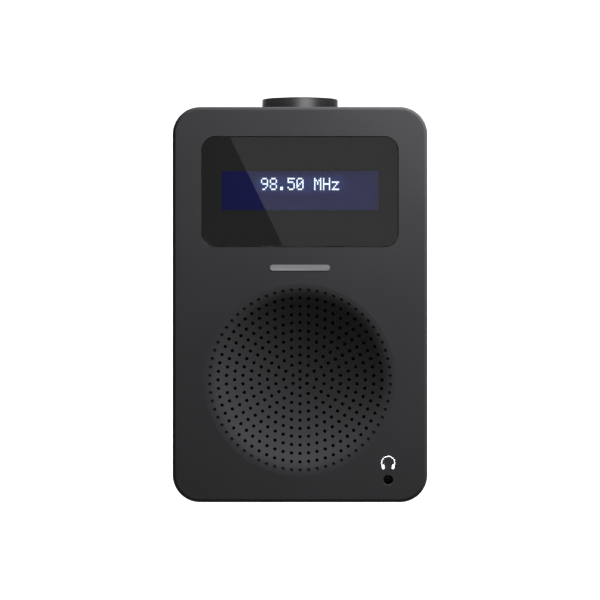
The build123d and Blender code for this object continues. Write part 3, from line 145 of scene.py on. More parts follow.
def addMix(tree, amount, first, second):
    blend = tree.nodes.new('ShaderNodeMix')
    blend.data_type = 'RGBA'
    blend.inputs['A'].default_value = (*first, 1)
    blend.inputs['B'].default_value = (*second, 1)
    tree.links.new(amount, blend.inputs['Factor'])
    return blend.outputs['Result']


def addBump(tree, height, strength, depth, shader):
    bump = tree.nodes.new('ShaderNodeBump')
    bump.inputs['Strength'].default_value = strength
    bump.inputs['Distance'].default_value = depth
    tree.links.new(height, bump.inputs['Height'])
    tree.links.new(bump.outputs['Normal'], shader.inputs['Normal'])
    return bump


def mouldedPlastic(name, look):
    # fine spark-eroded grain, and a broad, faint change of tone and gloss
    finish, tree, shader = newFinish(name)
    where = objectPlace(tree)
    grain = addNoise(tree, where, look["grainScale"], 3.0, 0.6)
    broad = addNoise(tree, where, look["broadScale"], 2.0, 0.5)
    tone = addMix(tree, addRange(tree, broad, 0.0, 1.0), look["dark"], look["light"])
    tree.links.new(tone, shader.inputs['Base Color'])
    low, high = look["roughness"]
    tree.links.new(addRange(tree, grain, low, high), shader.inputs['Roughness'])
    shader.inputs['Specular IOR Level'].default_value = look["specular"]
    addBump(tree, grain, look["grainStrength"], look["grainDepth"], shader)
    return finish


def clearWindow(name, look):
    finish, tree, shader = newFinish(name)
    where = objectPlace(tree)
    haze = addNoise(tree, where, 25.0, 2.0)
    tree.links.new(addRange(tree, haze, 0.0, look["haze"]), shader.inputs['Roughness'])
    shader.inputs['Base Color'].default_value = (*look["tint"], 1)
    shader.inputs['Transmission Weight'].default_value = 1.0
    shader.inputs['IOR'].default_value = look["ior"]
    return finish


def metalFinish(name, look):
    # brushed along one axis by stretching the noise
    finish, tree, shader = newFinish(name)
    where = objectPlace(tree, look["stretch"])
    lines = addNoise(tree, where, look["lineScale"], 3.0, 0.6)
    tone = addMix(tree, addRange(tree, lines, 0.0, 1.0), look["dark"], look["light"])
    tree.links.new(tone, shader.inputs['Base Color'])
    shader.inputs['Metallic'].default_value = 1.0
    low, high = look["roughness"]
    tree.links.new(addRange(tree, lines, low, high), shader.inputs['Roughness'])
    addBump(tree, lines, look["strength"], look["depth"], shader)
    return finish


def turnedPlastic(name, look):
    # moulded plastic with fine rings round its side
    finish = mouldedPlastic(name, look)
    tree = finish.node_tree
    shader = tree.nodes["Principled BSDF"]
    where = objectPlace(tree, (0, 0, 1))
    rings = addNoise(tree, where, look["ringScale"], 3.0, 0.6)
    addBump(tree, rings, look["ringStrength"], look["ringDepth"], shader)
    low, high = look["roughness"]
    tree.links.new(addRange(tree, rings, low, high), shader.inputs['Roughness'])
    tone = addMix(tree, addRange(tree, rings, 0.0, 1.0), look["dark"], look["light"])
    tree.links.new(tone, shader.inputs['Base Color'])
    return finish


def spunMetal(name, look):
    # rings round the knob's axis
    finish, tree, shader = newFinish(name)
    where = objectPlace(tree, (1, 1, 0), look["centre"])
    far = tree.nodes.new('ShaderNodeVectorMath')
    far.operation = 'LENGTH'
    tree.links.new(where, far.inputs[0])
    gather = tree.nodes.new('ShaderNodeCombineXYZ')
    tree.links.new(far.outputs['Value'], gather.inputs['X'])
    rings = addNoise(tree, gather.outputs['Vector'], look["ringScale"], 4.0, 0.7)
    tone = addMix(tree, addRange(tree, rings, 0.0, 1.0), look["dark"], look["light"])
    tree.links.new(tone, shader.inputs['Base Color'])
    shader.inputs['Metallic'].default_value = 1.0
    low, high = look["roughness"]
    tree.links.new(addRange(tree, rings, low, high), shader.inputs['Roughness'])
    shader.inputs['Anisotropic'].default_value = 0.5
    addBump(tree, rings, look["strength"], look["depth"], shader)
    return finish


def wovenCloth(name, look):
    # two crossing sets of threads
    finish, tree, shader = newFinish(name)
    where = objectPlace(tree)
    heights = []
    for direction in ('X', 'Z'):
        threads = tree.nodes.new('ShaderNodeTexWave')
        threads.bands_direction = direction
        threads.inputs['Scale'].default_value = look["threads"]
        threads.inputs['Distortion'].default_value = 0.6
        threads.inputs['Detail Scale'].default_value = 2.0
        tree.links.new(where, threads.inputs['Vector'])
        heights.append(threads.outputs['Fac'])
    cross = tree.nodes.new('ShaderNodeMath')
    cross.operation = 'MULTIPLY'
    tree.links.new(heights[0], cross.inputs[0])
    tree.links.new(heights[1], cross.inputs[1])
    tone = addMix(tree, cross.outputs['Value'], look["dark"], look["light"])
    tree.links.new(tone, shader.inputs['Base Color'])
    shader.inputs['Roughness'].default_value = 0.9
    shader.inputs['Sheen Weight'].default_value = look["sheen"]
    addBump(tree, cross.outputs['Value'], 0.6, look["depth"], shader)
    return finish


def circuitBoard(name, look):
    # solder mask over a maze of tracks
    finish, tree, shader = newFinish(name)
    where = objectPlace(tree)
    cells = tree.nodes.new('ShaderNodeTexVoronoi')
    cells.distance = 'MANHATTAN'
    cells.feature = 'F1'
    cells.inputs['Scale'].default_value = look["trackScale"]
    tree.links.new(where, cells.inputs['Vector'])
    wave = tree.nodes.new('ShaderNodeMath')
    wave.operation = 'PINGPONG'
    wave.inputs[1].default_value = 0.14
    tree.links.new(cells.outputs['Distance'], wave.inputs[0])
    tracks = addRange(tree, wave.outputs['Value'], 0.0, 1.0, 0.05, 0.07)
    tone = addMix(tree, tracks, look["mask"], look["track"])
    tree.links.new(tone, shader.inputs['Base Color'])
    shader.inputs['Roughness'].default_value = 0.32
    shader.inputs['Coat Weight'].default_value = 0.4
    addBump(tree, tracks, 0.3, 0.00004, shader)
    return finish


def litDisplay(name, look):
    # blue panel with the faint grid of its character cells and a glow behind the text
    finish, tree, shader = newFinish(name)
    where = objectPlace(tree, move=look["origin"])
    split = tree.nodes.new('ShaderNodeSeparateXYZ')
    tree.links.new(where, split.inputs['Vector'])
    reach = []
    for axis, half in (('X', look["glowHalf"][0]), ('Z', look["glowHalf"][1])):
        away = tree.nodes.new('ShaderNodeMath')
        away.operation = 'ABSOLUTE'
        tree.links.new(split.outputs[axis], away.inputs[0])
        past = tree.nodes.new('ShaderNodeMath')
        past.operation = 'SUBTRACT'
        past.use_clamp = True
        past.inputs[1].default_value = half
        tree.links.new(away.outputs['Value'], past.inputs[0])
        reach.append(past.outputs['Value'])
    outside = tree.nodes.new('ShaderNodeCombineXYZ')
    tree.links.new(reach[0], outside.inputs['X'])
    tree.links.new(reach[1], outside.inputs['Y'])
    far = tree.nodes.new('ShaderNodeVectorMath')
    far.operation = 'LENGTH'
    tree.links.new(outside.outputs['Vector'], far.inputs[0])
    glow = addRange(tree, far.outputs['Value'], 1.0, 0.0, 0.0, look["glowReach"])
    bricks = tree.nodes.new('ShaderNodeTexBrick')
    bricks.offset = 0.0
    bricks.inputs['Scale'].default_value = 1.0
    bricks.inputs['Brick Width'].default_value = look["dot"][0]
    bricks.inputs['Row Height'].default_value = look["dot"][1]
    bricks.inputs['Mortar Size'].default_value = look["gap"]
    bricks.inputs['Color1'].default_value = (1, 1, 1, 1)
    bricks.inputs['Color2'].default_value = (1, 1, 1, 1)
    bricks.inputs['Mortar'].default_value = (0.8, 0.8, 0.8, 1)
    flat = tree.nodes.new('ShaderNodeCombineXYZ')
    tree.links.new(split.outputs['X'], flat.inputs['X'])
    tree.links.new(split.outputs['Z'], flat.inputs['Y'])
    tree.links.new(flat.outputs['Vector'], bricks.inputs['Vector'])
    tone = addMix(tree, glow, look["blue"], look["glow"])
    dotted = tree.nodes.new('ShaderNodeMix')
    dotted.data_type = 'RGBA'
    dotted.blend_type = 'MULTIPLY'
    dotted.inputs['Factor'].default_value = 1.0
    tree.links.new(tone, dotted.inputs['A'])
    tree.links.new(bricks.outputs['Color'], dotted.inputs['B'])
    tree.links.new(dotted.outputs['Result'], shader.inputs['Emission Color'])
    shader.inputs['Emission Strength'].default_value = look["strength"]
    shader.inputs['Base Color'].default_value = (*look["base"], 1)
    shader.inputs['Roughness'].default_value = 0.35
    shader.inputs['Specular IOR Level'].default_value = look["specular"]
    return finish


def litDots(name, look):
    finish, tree, shader = newFinish(name)
    where = objectPlace(tree)
    spark = addNoise(tree, where, 1500.0, 1.0)
    tone = addMix(tree, addRange(tree, spark, 0.0, 1.0), look["edge"], look["middle"])
    tree.links.new(tone, shader.inputs['Emission Color'])
    shader.inputs['Emission Strength'].default_value = look["strength"]
    shader.inputs['Base Color'].default_value = (0.5, 0.5, 0.5, 1)
    return finish


def bandedSleeve(name, look):
    # plastic sleeve of a cell, a band of another colour round its middle
    finish, tree, shader = newFinish(name)
    where = objectPlace(tree, move=(0, 0, -look["middle"]))
    split = tree.nodes.new('ShaderNodeSeparateXYZ')
    tree.links.new(where, split.inputs['Vector'])
    away = tree.nodes.new('ShaderNodeMath')
    away.operation = 'ABSOLUTE'
    tree.links.new(split.outputs['Z'], away.inputs[0])
    band = addRange(tree, away.outputs['Value'], 1.0, 0.0, look["half"], look["half"] + 0.0002)
    tone = addMix(tree, band, look["sleeve"], look["band"])
    tree.links.new(tone, shader.inputs['Base Color'])
    scuff = addNoise(tree, where, 300.0, 3.0)
    tree.links.new(addRange(tree, scuff, 0.22, 0.34), shader.inputs['Roughness'])
    shader.inputs['Metallic'].default_value = 0.4
    shader.inputs['Coat Weight'].default_value = 0.3
    return finish


print("finishes")
cabinetLook = {
    "dark": (0.0100, 0.0100, 0.0106), "light": (0.0116, 0.0116, 0.0122),
    "grainScale": 3200.0, "grainStrength": 0.16, "grainDepth": 0.00003, "broadScale": 18.0,
    "roughness": (0.44, 0.52), "specular": 0.06,
}
knobLook = {
    "dark": (0.013, 0.013, 0.0135), "light": (0.030, 0.030, 0.031),
    "grainScale": 4000.0, "grainStrength": 0.08, "grainDepth": 0.00002, "broadScale": 40.0,
    "ringScale": 1400.0, "ringStrength": 0.35, "ringDepth": 0.00006,
    "roughness": (0.36, 0.46), "specular": 0.5,
}
keyLook = {
    "dark": (0.016, 0.016, 0.017), "light": (0.019, 0.019, 0.020),
    "grainScale": 4000.0, "grainStrength": 0.12, "grainDepth": 0.00002, "broadScale": 40.0,
    "roughness": (0.38, 0.46), "specular": 0.45,
}
inkLook = {
    "dark": (0.008, 0.008, 0.008), "light": (0.010, 0.010, 0.010),
    "grainScale": 5000.0, "grainStrength": 0.02, "grainDepth": 0.00001, "broadScale": 30.0,
    "roughness": (0.5, 0.6), "specular": 0.3,
}
rubberLook = {
    "dark": (0.012, 0.012, 0.012), "light": (0.02, 0.02, 0.02),
    "grainScale": 2200.0, "grainStrength": 0.3, "grainDepth": 0.00005, "broadScale": 60.0,
    "roughness": (0.7, 0.85), "specular": 0.4,
}
whitePlasticLook = {
    "dark": (0.62, 0.62, 0.6), "light": (0.7, 0.7, 0.68),
    "grainScale": 3000.0, "grainStrength": 0.1, "grainDepth": 0.00003, "broadScale": 30.0,
    "roughness": (0.4, 0.5), "specular": 0.5,
}
blackPartLook = {
    "dark": (0.010, 0.010, 0.010), "light": (0.016, 0.016, 0.016),
    "grainScale": 3500.0, "grainStrength": 0.1, "grainDepth": 0.00002, "broadScale": 50.0,
    "roughness": (0.35, 0.5), "specular": 0.5,
}
printLook = {
    "dark": (0.50, 0.50, 0.51), "light": (0.58, 0.58, 0.59),
    "grainScale": 5000.0, "grainStrength": 0.05, "grainDepth": 0.00001, "broadScale": 200.0,
    "roughness": (0.5, 0.6), "specular": 0.5,
}
paperLook = {
    "dark": (0.018, 0.018, 0.018), "light": (0.035, 0.034, 0.033),
    "grainScale": 900.0, "grainStrength": 0.5, "grainDepth": 0.0001, "broadScale": 90.0,
    "roughness": (0.8, 0.95), "specular": 0.3,
}
spiderLook = {
    "dark": (0.35, 0.2, 0.06), "light": (0.5, 0.32, 0.12),
    "grainScale": 1500.0, "grainStrength": 0.5, "grainDepth": 0.0001, "broadScale": 90.0,
    "roughness": (0.6, 0.75), "specular": 0.4,
}
ferriteLook = {
    "dark": (0.03, 0.03, 0.032), "light": (0.06, 0.06, 0.062),
    "grainScale": 1200.0, "grainStrength": 0.4, "grainDepth": 0.00008, "broadScale": 120.0,
    "roughness": (0.55, 0.7), "specular": 0.5,
}
redWireLook = {
    "dark": (0.3, 0.02, 0.02), "light": (0.4, 0.03, 0.03),
    "grainScale": 1500.0, "grainStrength": 0.1, "grainDepth": 0.00002, "broadScale": 80.0,
    "roughness": (0.4, 0.5), "specular": 0.5,
}
badgeLook = {
    "stretch": (40, 2200, 2200), "lineScale": 1.0, "dark": (0.30, 0.30, 0.31),
    "light": (0.46, 0.46, 0.47), "roughness": (0.34, 0.5), "strength": 0.2, "depth": 0.00002,
}
chromeLook = {
    "stretch": (8, 60, 60), "lineScale": 1.0, "dark": (0.62, 0.63, 0.64),
    "light": (0.7, 0.71, 0.72), "roughness": (0.08, 0.14), "strength": 0.02, "depth": 0.00002,
}
steelLook = {
    "stretch": (300, 300, 300), "lineScale": 1.0, "dark": (0.42, 0.42, 0.41),
    "light": (0.55, 0.55, 0.53), "roughness": (0.28, 0.42), "strength": 0.1, "depth": 0.00002,
}
blackSteelLook = {
    "stretch": (300, 300, 300), "lineScale": 1.0, "dark": (0.05, 0.05, 0.05),
    "light": (0.08, 0.08, 0.08), "roughness": (0.3, 0.45), "strength": 0.1, "depth": 0.00002,
}
copperLook = {
    "stretch": (400, 4000, 400), "lineScale": 1.0, "dark": (0.5, 0.2, 0.1),
    "light": (0.7, 0.34, 0.18), "roughness": (0.3, 0.4), "strength": 0.4, "depth": 0.00004,
}
capLook = {
    "centre": (0, 0.004, 0), "ringScale": 2600.0, "dark": (0.045, 0.045, 0.048),
    "light": (0.075, 0.075, 0.08), "roughness": (0.25, 0.4), "strength": 0.25, "depth": 0.00002,
}
clothLook = {
    "threads": 900.0, "dark": (0.0015, 0.0015, 0.0015), "light": (0.004, 0.004, 0.004),
    "sheen": 0.1, "depth": 0.0001,
}
boardLook = {"trackScale": 220.0, "mask": (0.01, 0.07, 0.03), "track": (0.02, 0.13, 0.05)}
windowLook = {"tint": (0.86, 0.87, 0.88), "haze": 0.002, "ior": 1.49}
sleeveLook = {
    "middle": 0.0425, "half": 0.009, "sleeve": (0.02, 0.022, 0.03), "band": (0.25, 0.3, 0.33),
}

cabinetFinish = mouldedPlastic("cabinetPlastic", cabinetLook)
knobFinish = turnedPlastic("knobPlastic", knobLook)
keyFinish = mouldedPlastic("keyPlastic", keyLook)
inkFinish = mouldedPlastic("blackInk", inkLook)
rubberFinish = mouldedPlastic("footRubber", rubberLook)
whiteFinish = mouldedPlastic("whitePlastic", whitePlasticLook)
blackFinish = mouldedPlastic("blackPart", blackPartLook)
printFinish = mouldedPlastic("greyPrint", printLook)
paperFinish = mouldedPlastic("conePaper", paperLook)
spiderFinish = mouldedPlastic("spiderCloth", spiderLook)
ferriteFinish = mouldedPlastic("ferrite", ferriteLook)
wireFinish = mouldedPlastic("redWire", redWireLook)
badgeFinish = metalFinish("brushedBadge", badgeLook)
chromeFinish = metalFinish("brightPlating", chromeLook)
steelFinish = metalFinish("zincSteel", steelLook)
blackSteelFinish = metalFinish("blackSteel", blackSteelLook)
copperFinish = metalFinish("coilCopper", copperLook)
capFinish = spunMetal("spunCap", capLook)
clothFinish = wovenCloth("grilleCloth", clothLook)
boardFinish = circuitBoard("circuitBoard", boardLook)
windowFinish = clearWindow("tintedWindow", windowLook)
sleeveFinish = bandedSleeve("cellSleeve", sleeveLook)

glassLow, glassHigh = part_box("lcd_glass")
glassMiddle = (glassLow + glassHigh) / 2
cellWidth = 3.38 * mm
textTop = glassMiddle.z + 4.7 * mm
displayLook = {
    "origin": (0, 0, -(glassMiddle.z + 2.5 * mm)),
    "glowHalf": (4.5 * cellWidth, 1.6 * mm),
    "glowReach": 2.6 * mm,
    "dot": (0.56 * mm, 0.70 * mm),
    "gap": 0.03 * mm,
    "blue": (0.0015, 0.0025, 0.052),
    "glow": (0.012, 0.022, 0.12),
    "strength": 1.0,
    "base": (0.001, 0.001, 0.006),
    "specular": 0.0,
}
displayFinish = litDisplay("litDisplay", displayLook)
dotLook = {"edge": (0.55, 0.72, 1.0), "middle": (0.72, 0.86, 1.0), "strength": 1.25}
dotFinish = litDots("litDots", dotLook)

inkShader = inkFinish.node_tree.nodes["Principled BSDF"]
inkShader.inputs['Emission Color'].default_value = (1, 1, 0.98, 1)  # painted light: a faint glow on the black print stands in for the lamp light that the window's glass keeps off it
inkShader.inputs['Emission Strength'].default_value = 0.0135

nodeFinishes = {
    "front_cover": cabinetFinish, "rear_cover": cabinetFinish, "battery_door": cabinetFinish,
    "display_window": windowFinish, "window_mask": inkFinish, "lcd_frame": blackFinish,
    "lcd_glass": displayFinish, "backlight_panel": whiteFinish, "display_board": boardFinish,
    "front_badge": badgeFinish, "grille_cloth": clothFinish, "speaker_gasket": rubberFinish,
    "speaker_basket": blackFinish, "speaker_top_plate": steelFinish,
    "speaker_magnet": ferriteFinish, "speaker_yoke": steelFinish,
    "speaker_surround": rubberFinish, "speaker_spider": spiderFinish,
    "speaker_cone": paperFinish, "dust_cap": paperFinish, "voice_coil": copperFinish,
    "speaker_screws": blackSteelFinish, "headphone_jack": blackFinish,
    "jack_board": boardFinish, "main_board": boardFinish, "board_screws": blackSteelFinish,
    "tuner_shield": steelFinish, "board_components": blackFinish, "key_board": boardFinish,
    "encoder_body": steelFinish, "key_switches": blackFinish, "battery_cells": sleeveFinish,
    "battery_springs": steelFinish, "battery_contacts": steelFinish, "usb_socket": steelFinish,
    "power_board": boardFinish, "antenna_lead": wireFinish, "audio_leads": wireFinish,
    "power_leads": wireFinish, "ribbon_cables": whiteFinish, "feet": rubberFinish,
    "case_screws": blackSteelFinish, "encoder_push_rod": steelFinish,
    "encoder_shaft": steelFinish, "knob": knobFinish, "knob_cap": capFinish,
    "power_key": keyFinish, "mode_key": keyFinish, "menu_key": keyFinish,
    "preset_key": keyFinish, "antenna_swivel": chromeFinish, "antenna_pin": steelFinish,
    "antenna_screw": blackSteelFinish, "antenna_knuckle": chromeFinish,
    "antenna_tube_1": chromeFinish, "antenna_tube_2": chromeFinish,
    "antenna_tube_3": chromeFinish, "antenna_tube_4": chromeFinish,
    "antenna_rod": chromeFinish, "antenna_tip": blackFinish,
}
for name, finish in nodeFinishes.items():
    paintNode(name, finish)
leftOver = sorted(set(nodes) - set(nodeFinishes))
print("nodes without a finish:", leftOver)


# display text, a grid of small lit dots

textLook = {
    "words": "98.50 MHz",
    "dotSize": (0.50 * mm, 0.04 * mm, 0.61 * mm),
    "dotStep": (0.56 * mm, 0.68 * mm),
    "lift": 0.03 * mm,
}
dotRows = {
    "9": ("01110", "10001", "10001", "01111", "00001", "00010", "01100"),
    "8": ("01110", "10001", "10001", "01110", "10001", "10001", "01110"),
    ".": ("00000", "00000", "00000", "00000", "00000", "01100", "01100"),
    "5": ("11111", "10000", "11110", "00001", "00001", "10001", "01110"),
    "0": ("01110", "10001", "10011", "10101", "11001", "10001", "01110"),
    "M": ("10001", "11011", "10101", "10101", "10001", "10001", "10001"),
    "H": ("10001", "10001", "10001", "11111", "10001", "10001", "10001"),
    "z": ("00000", "00000", "11111", "00010", "00100", "01000", "11111"),
}


def buildDisplayText(look):
    stepX, stepZ = look["dotStep"]
    frontY = glassLow.y - look["lift"] - look["dotSize"][1] / 2
    deselectAll()
    bpy.ops.mesh.primitive_cube_add(size=1, location=(0, frontY, 0), scale=look["dotSize"])
    firstDot = bpy.context.object
    settle(firstDot)
    bpy.ops.object.mode_set(mode='EDIT')
    bpy.ops.mesh.select_all(action='SELECT')
    bpy.ops.mesh.bevel(offset=0.008 * mm, segments=1, affect='EDGES')
    leaveEdit()
    dots = []
    startX = -len(look["words"]) * cellWidth / 2 + (cellWidth - 4 * stepX) / 2
    for place, letter in enumerate(look["words"]):
        for down, row in enumerate(dotRows.get(letter, ())):
            for across, lit in enumerate(row):
                if lit == "1":
                    dot = firstDot.copy()
                    dot.data = firstDot.data.copy()
                    x = startX + place * cellWidth + across * stepX
                    dot.location = (x, 0, textTop - down * stepZ)
                    bpy.context.collection.objects.link(dot)
                    dots.append(dot)
    bpy.data.objects.remove(firstDot)
    text = joinPieces(dots, "displayText")
    paint(text, dotFinish)
    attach(text, "radio")
    return text


print("display text")
buildDisplayText(textLook)


# printed marks: the headphone symbol and the key symbols

def flatRing(name, radius, width, thick, middle, facing):
    # a flat band: a torus pressed thin
    deselectAll()
    bpy.ops.mesh.primitive_torus_add(
        major_segments=48, minor_segments=8, major_radius=radius, minor_radius=width / 2)
    ring = bpy.context.object
    ring.name = name
    ring.scale = (1, 1, thick / width)
    settle(ring)
    if facing == 'front':
        ring.rotation_euler = (math.radians(90), 0, 0)
    ring.location = middle
    settle(ring)
    return ring


def flatBar(name, size, edge, middle):
    # a bar with rounded ends
    deselectAll()
    bpy.ops.mesh.primitive_cube_add(size=1, location=middle, scale=size)
    bar = bpy.context.object
    bar.name = name
    settle(bar)
    bpy.ops.object.mode_set(mode='EDIT')
    bpy.ops.mesh.select_mode(type='EDGE')
    bpy.ops.mesh.select_all(action='DESELECT')
    bpy.ops.object.mode_set(mode='OBJECT')
    thinAxis = min(range(3), key=lambda n: size[n])
    for line in bar.data.edges:
        a, b = (bar.data.vertices[v].co for v in line.vertices)
        line.select = abs((a - b)[thinAxis]) > 0.5 * size[thinAxis]
    bpy.ops.object.mode_set(mode='EDIT')
    bpy.ops.mesh.bevel(offset=edge, segments=5, affect='EDGES')
    leaveEdit()
    return bar


def cutRing(ring, point, normal):
    # keeps what lies on the normal's far side and closes the ends
    pick(ring)
    bpy.ops.object.mode_set(mode='EDIT')
    bpy.ops.mesh.select_all(action='SELECT')
    bpy.ops.mesh.bisect(plane_co=point, plane_no=normal, use_fill=True, clear_inner=True)
    leaveEdit()


def removeWedge(ring, middle, halfAngle):
    # opens the ring at the top and closes the two ends
    def inWedge(face):
        away = face.center - middle
        return abs(math.atan2(away.x, away.y)) < halfAngle
    keepFaces(ring, inWedge)
    bpy.ops.mesh.delete(type='FACE')
    bpy.ops.mesh.select_all(action='SELECT')
    bpy.ops.mesh.fill_holes(sides=0)
    bpy.ops.mesh.normals_make_consistent(inside=False)
    leaveEdit()


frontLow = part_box("front_cover")[0]
jackLow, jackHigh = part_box("headphone_jack")
jackMiddle = (jackLow + jackHigh) / 2
headphoneLook = {
    "radius": 2.48 * mm, "width": 0.42 * mm, "thick": 0.06 * mm, "rise": 6.45 * mm,
    "stem": 0.55 * mm, "cupSize": (1.1 * mm, 0.06 * mm, 1.9 * mm), "cupEdge": 0.35 * mm,
    "cupOut": 1.9 * mm, "cupDrop": 1.45 * mm, "cupLean": 10.0,
}


def buildHeadphoneMark(look):
    middle = Vector((jackMiddle.x, frontLow.y, jackMiddle.z + look["rise"]))
    band = flatRing("band", look["radius"], look["width"], look["thick"], middle, 'front')
    cutRing(band, middle, (0, 0, 1))
    parts = [band]
    for side in (-1, 1):
        stemSize = (look["width"], look["thick"], look["stem"] + 0.3 * mm)
        stemMiddle = middle + Vector((side * look["radius"], 0, -look["stem"] / 2))
        parts.append(flatBar("stem", stemSize, 0.05 * mm, stemMiddle))
        cup = flatBar("cup", look["cupSize"], look["cupEdge"], (0, 0, 0))
        cup.rotation_euler = (0, math.radians(side * look["cupLean"]), 0)
        cup.location = middle + Vector((side * look["cupOut"], 0, -look["cupDrop"]))
        settle(cup)
        parts.append(cup)
    mark = joinPieces(parts, "headphoneMark")
    paint(mark, printFinish)
    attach(mark, "radio")
    return mark


print("headphone mark")
buildHeadphoneMark(headphoneLook)

keyMarkLook = {
    "ring": 1.9 * mm, "line": 0.45 * mm, "thick": 0.05 * mm,
    "barLength": 4.2 * mm, "barStep": 1.4 * mm, "dot": 0.6 * mm,
}


def keyTop(key):
    low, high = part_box(key)
    return Vector(((low.x + high.x) / 2, (low.y + high.y) / 2, high.z))


def finishKeyMark(parts, name, key):
    mark = joinPieces(parts, name)
    paint(mark, printFinish)
    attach(mark, key)


def buildPowerMark(look):
    top = keyTop("power_key")
    ring = flatRing("ring", look["ring"], look["line"], look["thick"], top, 'up')
    removeWedge(ring, top, math.radians(33))
    barMiddle = top + Vector((0, look["ring"] * 0.85, 0))
    barSize = (look["line"], look["ring"] * 1.3, look["thick"])
    bar = flatBar("bar", barSize, look["line"] * 0.4, barMiddle)
    finishKeyMark([ring, bar], "powerMark", "power_key")


def buildMenuMark(look):
    top = keyTop("menu_key")
    bars = []
    for step in (-1, 0, 1):
        size = (look["barLength"], look["line"], look["thick"])
        place = top + Vector((0, step * look["barStep"], 0))
        bars.append(flatBar("bar", size, look["line"] * 0.4, place))
    finishKeyMark(bars, "menuMark", "menu_key")


def buildModeMark(look):
    top = keyTop("mode_key")
    ring = flatRing("ring", look["ring"], look["line"], look["thick"], top, 'up')
    dot = flatRing("dot", look["dot"] / 2, look["dot"], look["thick"], top, 'up')
    finishKeyMark([ring, dot], "modeMark", "mode_key")


def buildPresetMark(look):
    # four small squares
    top = keyTop("preset_key")
    squares = []
    for acrossStep in (-1, 1):
        for alongStep in (-1, 1):
            offset = Vector((acrossStep * 1.15 * mm, alongStep * 1.15 * mm, 0))
            size = (1.5 * mm, 1.5 * mm, look["thick"])
            squares.append(flatBar("square", size, 0.25 * mm, top + offset))
    finishKeyMark(squares, "presetMark", "preset_key")


print("key marks")
buildPowerMark(keyMarkLook)
buildMenuMark(keyMarkLook)
buildModeMark(keyMarkLook)
buildPresetMark(keyMarkLook)


# floor, backdrop, lights and camera

print("studio")
studioLook = {
    "floorMiddle": (0, 1.0, 0), "floorSize": (8.0, 6.0), "sweepRadius": 0.5,
    "sweepHeight": 2.5, "floorTone": (0.86, 0.86, 0.86), "worldTone": (0.10, 0.10, 0.102),
}


def buildSweep(look):
    # floor that curves up into the backdrop
    deselectAll()
    bpy.ops.mesh.primitive_plane_add(size=1, location=look["floorMiddle"])
    sweep = bpy.context.object
    sweep.name = "floorSweep"
    sweep.scale = (*look["floorSize"], 1)
    settle(sweep)
    backEdgeY = max(v.co.y for v in sweep.data.vertices)
    bpy.ops.object.mode_set(mode='EDIT')
    bpy.ops.mesh.select_mode(type='EDGE')
    bpy.ops.mesh.select_all(action='DESELECT')
    bpy.ops.object.mode_set(mode='OBJECT')
    for line in sweep.data.edges:
        ends = [sweep.data.vertices[v].co.y for v in line.vertices]
        line.select = min(ends) > backEdgeY - 0.001
    bpy.ops.object.mode_set(mode='EDIT')
    centre = (0, backEdgeY, look["sweepRadius"])
    bpy.ops.mesh.spin(steps=24, angle=math.radians(90), center=centre, axis=(-1, 0, 0))
    bpy.ops.mesh.extrude_region_move(TRANSFORM_OT_translate={"value": (0, 0, look["sweepHeight"])})
    leaveEdit()
    bpy.ops.object.shade_smooth()
    finish, tree, shader = newFinish("palePaper")
    where = objectPlace(tree)
    grain = addNoise(tree, where, 40.0, 2.0)
    lighter = [c * 1.02 for c in look["floorTone"]]
    tone = addMix(tree, addRange(tree, grain, 0.0, 1.0), look["floorTone"], lighter)
    tree.links.new(tone, shader.inputs['Base Color'])
    shader.inputs['Roughness'].default_value = 0.9
    shader.inputs['Specular IOR Level'].default_value = 0.1
    paint(sweep, finish)
    sweep.visible_diffuse = False
    return sweep


sweep = buildSweep(studioLook)

world = bpy.data.worlds.new("studioWorld")
bpy.context.scene.world = world
world.use_nodes = True
sky = world.node_tree.nodes["Background"]
sky.inputs['Color'].default_value = (*studioLook["worldTone"], 1)
sky.inputs['Strength'].default_value = 1.0


def newLamp(name, size, power):
    light = bpy.data.lights.new(name, 'AREA')
    light.shape = 'RECTANGLE'
    light.size, light.size_y = size
    light.energy = power
    lamp = bpy.data.objects.new(name, light)
    bpy.context.collection.objects.link(lamp)
    return lamp


def addAreaLight(name, look):
    lamp = newLamp(name, look["size"], look["power"])
    lamp.data.color = look["tone"]
    place = Vector(look["place"])
    aim = (Vector(look["target"]) - place).to_track_quat('-Z', 'Y')
    lamp.matrix_world = Matrix.Translation(place) @ aim.to_matrix().to_4x4()
    return lamp


radioMiddle = Vector((0, 0, 0.078))
keyLampLook = {
    "place": (0.15, -0.107, 0.32), "target": (0.01, -0.033, 0.09), "size": (0.14, 0.08),
    "power": 12.0, "tone": (1.0, 0.985, 1.0),
}
knobLampLook = {
    "place": (0.24, -0.75, 0.28), "target": (0, -0.004, 0.153), "size": (0.6, 0.3),
    "power": 6.5, "tone": (1.0, 1.0, 1.0),
}
paperLampLook = {
    "place": (0, 1.5, 1.8), "target": (0, 1.51, 0.0), "size": (6.0, 5.4),
    "power": 260.0, "tone": (1.0, 1.0, 1.0),
}
rearLampLook = {
    "place": (-0.35, 1.0, 0.75), "target": radioMiddle, "size": (0.9, 0.7),
    "power": 16.0, "tone": (1.0, 1.0, 1.0),
}
rightLampLook = {
    "place": (1.0, 0.25, 0.6), "target": radioMiddle, "size": (0.7, 0.7),
    "power": 9.0, "tone": (1.0, 1.0, 1.0),
}
leftLampLook = {
    "place": (-1.0, 0.25, 0.6), "target": radioMiddle, "size": (0.7, 0.7),
    "power": 9.0, "tone": (1.0, 1.0, 1.0),
}
backdropLampLook = {
    "place": (0, 3.3, 1.3), "target": (0, 4.5, 0.5), "size": (5.0, 0.6),
    "power": 46.0, "tone": (1.0, 1.0, 1.0),
}


def lightOnly(lamp, name, pieces):
    # the lamp shines on these pieces alone, and only they cast its shadows
    group = bpy.data.collections.new(name)
    for piece in pieces:
        group.objects.link(piece)
    lamp.light_linking.receiver_collection = group
    lamp.light_linking.blocker_collection = group


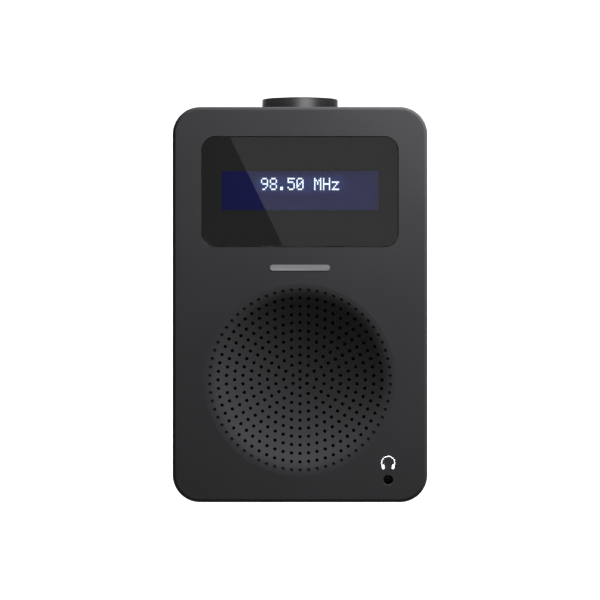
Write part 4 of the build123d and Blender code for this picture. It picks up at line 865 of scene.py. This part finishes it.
knobPieces = [nodes["knob"]]
radioPieces = [
    piece for piece in bpy.context.scene.objects
    if piece.type == 'MESH' and piece != sweep and piece not in knobPieces]
frontPieces = [nodes["front_cover"], nodes["display_window"], nodes["front_badge"]]
backPieces = [piece for piece in radioPieces if piece not in frontPieces]
keyLight = addAreaLight("keyLight", keyLampLook)
keyLight.visible_glossy = False  # keeps its glare off the cabinet's top
lightOnly(keyLight, "radioPieces", radioPieces)
lightOnly(addAreaLight("knobLight", knobLampLook), "knobPieces", knobPieces)
lightOnly(addAreaLight("paperLight", paperLampLook), "paperPieces", [sweep])
lightOnly(addAreaLight("backdropLight", backdropLampLook), "backdropPieces", [sweep])
fillLamps = {"rearLight": rearLampLook, "rightLight": rightLampLook, "leftLight": leftLampLook}
for name, look in fillLamps.items():
    fillLight = addAreaLight(name, look)
    fillLight.visible_glossy = False
    lightOnly(fillLight, name + "Pieces", backPieces)

# soft card beside the lens of the camera: its mirror image crosses the window
cameraLook = {"place": (0, -1.1825, 0.0777), "sensor": 36.0, "lens": 181.5, "near": 0.01, "far": 20.0}
cardLook = {
    "topEdge": (-26.6 * mm, 139.6 * mm), "bottomEdge": (-6.4 * mm, 98.2 * mm),
    "width": 0.20, "length": 0.34, "power": 0.1,
}


def addWindowCard(look):
    # the card's slanting edge, doubled about the camera's axis as the window mirrors it
    height = cameraLook["place"][2]
    edges = []
    for x, z in (look["topEdge"], look["bottomEdge"]):
        edges.append(Vector((2 * x, cameraLook["place"][1], height + 2 * (z - height))))
    top, bottom = edges
    along = (bottom - top).normalized()
    out = Vector((-along.z, 0, along.x))
    centre = (top + bottom) / 2 + out * look["width"] / 2
    lamp = newLamp("windowCard", (look["width"], look["length"]), look["power"])
    lamp.matrix_world = Matrix((
        (out.x, along.x, 0, centre.x),
        (0, 0, -1, centre.y),
        (out.z, along.z, 0, centre.z),
        (0, 0, 0, 1)))
    return lamp


addWindowCard(cardLook)

cameraData = bpy.data.cameras.new("camera")
cameraData.sensor_width = cameraLook["sensor"]
cameraData.lens = cameraLook["lens"]
cameraData.clip_start = cameraLook["near"]
cameraData.clip_end = cameraLook["far"]
camera = bpy.data.objects.new("camera", cameraData)
camera.location = cameraLook["place"]
camera.rotation_euler = (math.radians(90), 0, 0)
bpy.context.collection.objects.link(camera)
bpy.context.scene.camera = camera
bpy.context.scene.view_settings.view_transform = 'Standard'
bpy.context.scene.view_settings.look = 'None'

print("done")
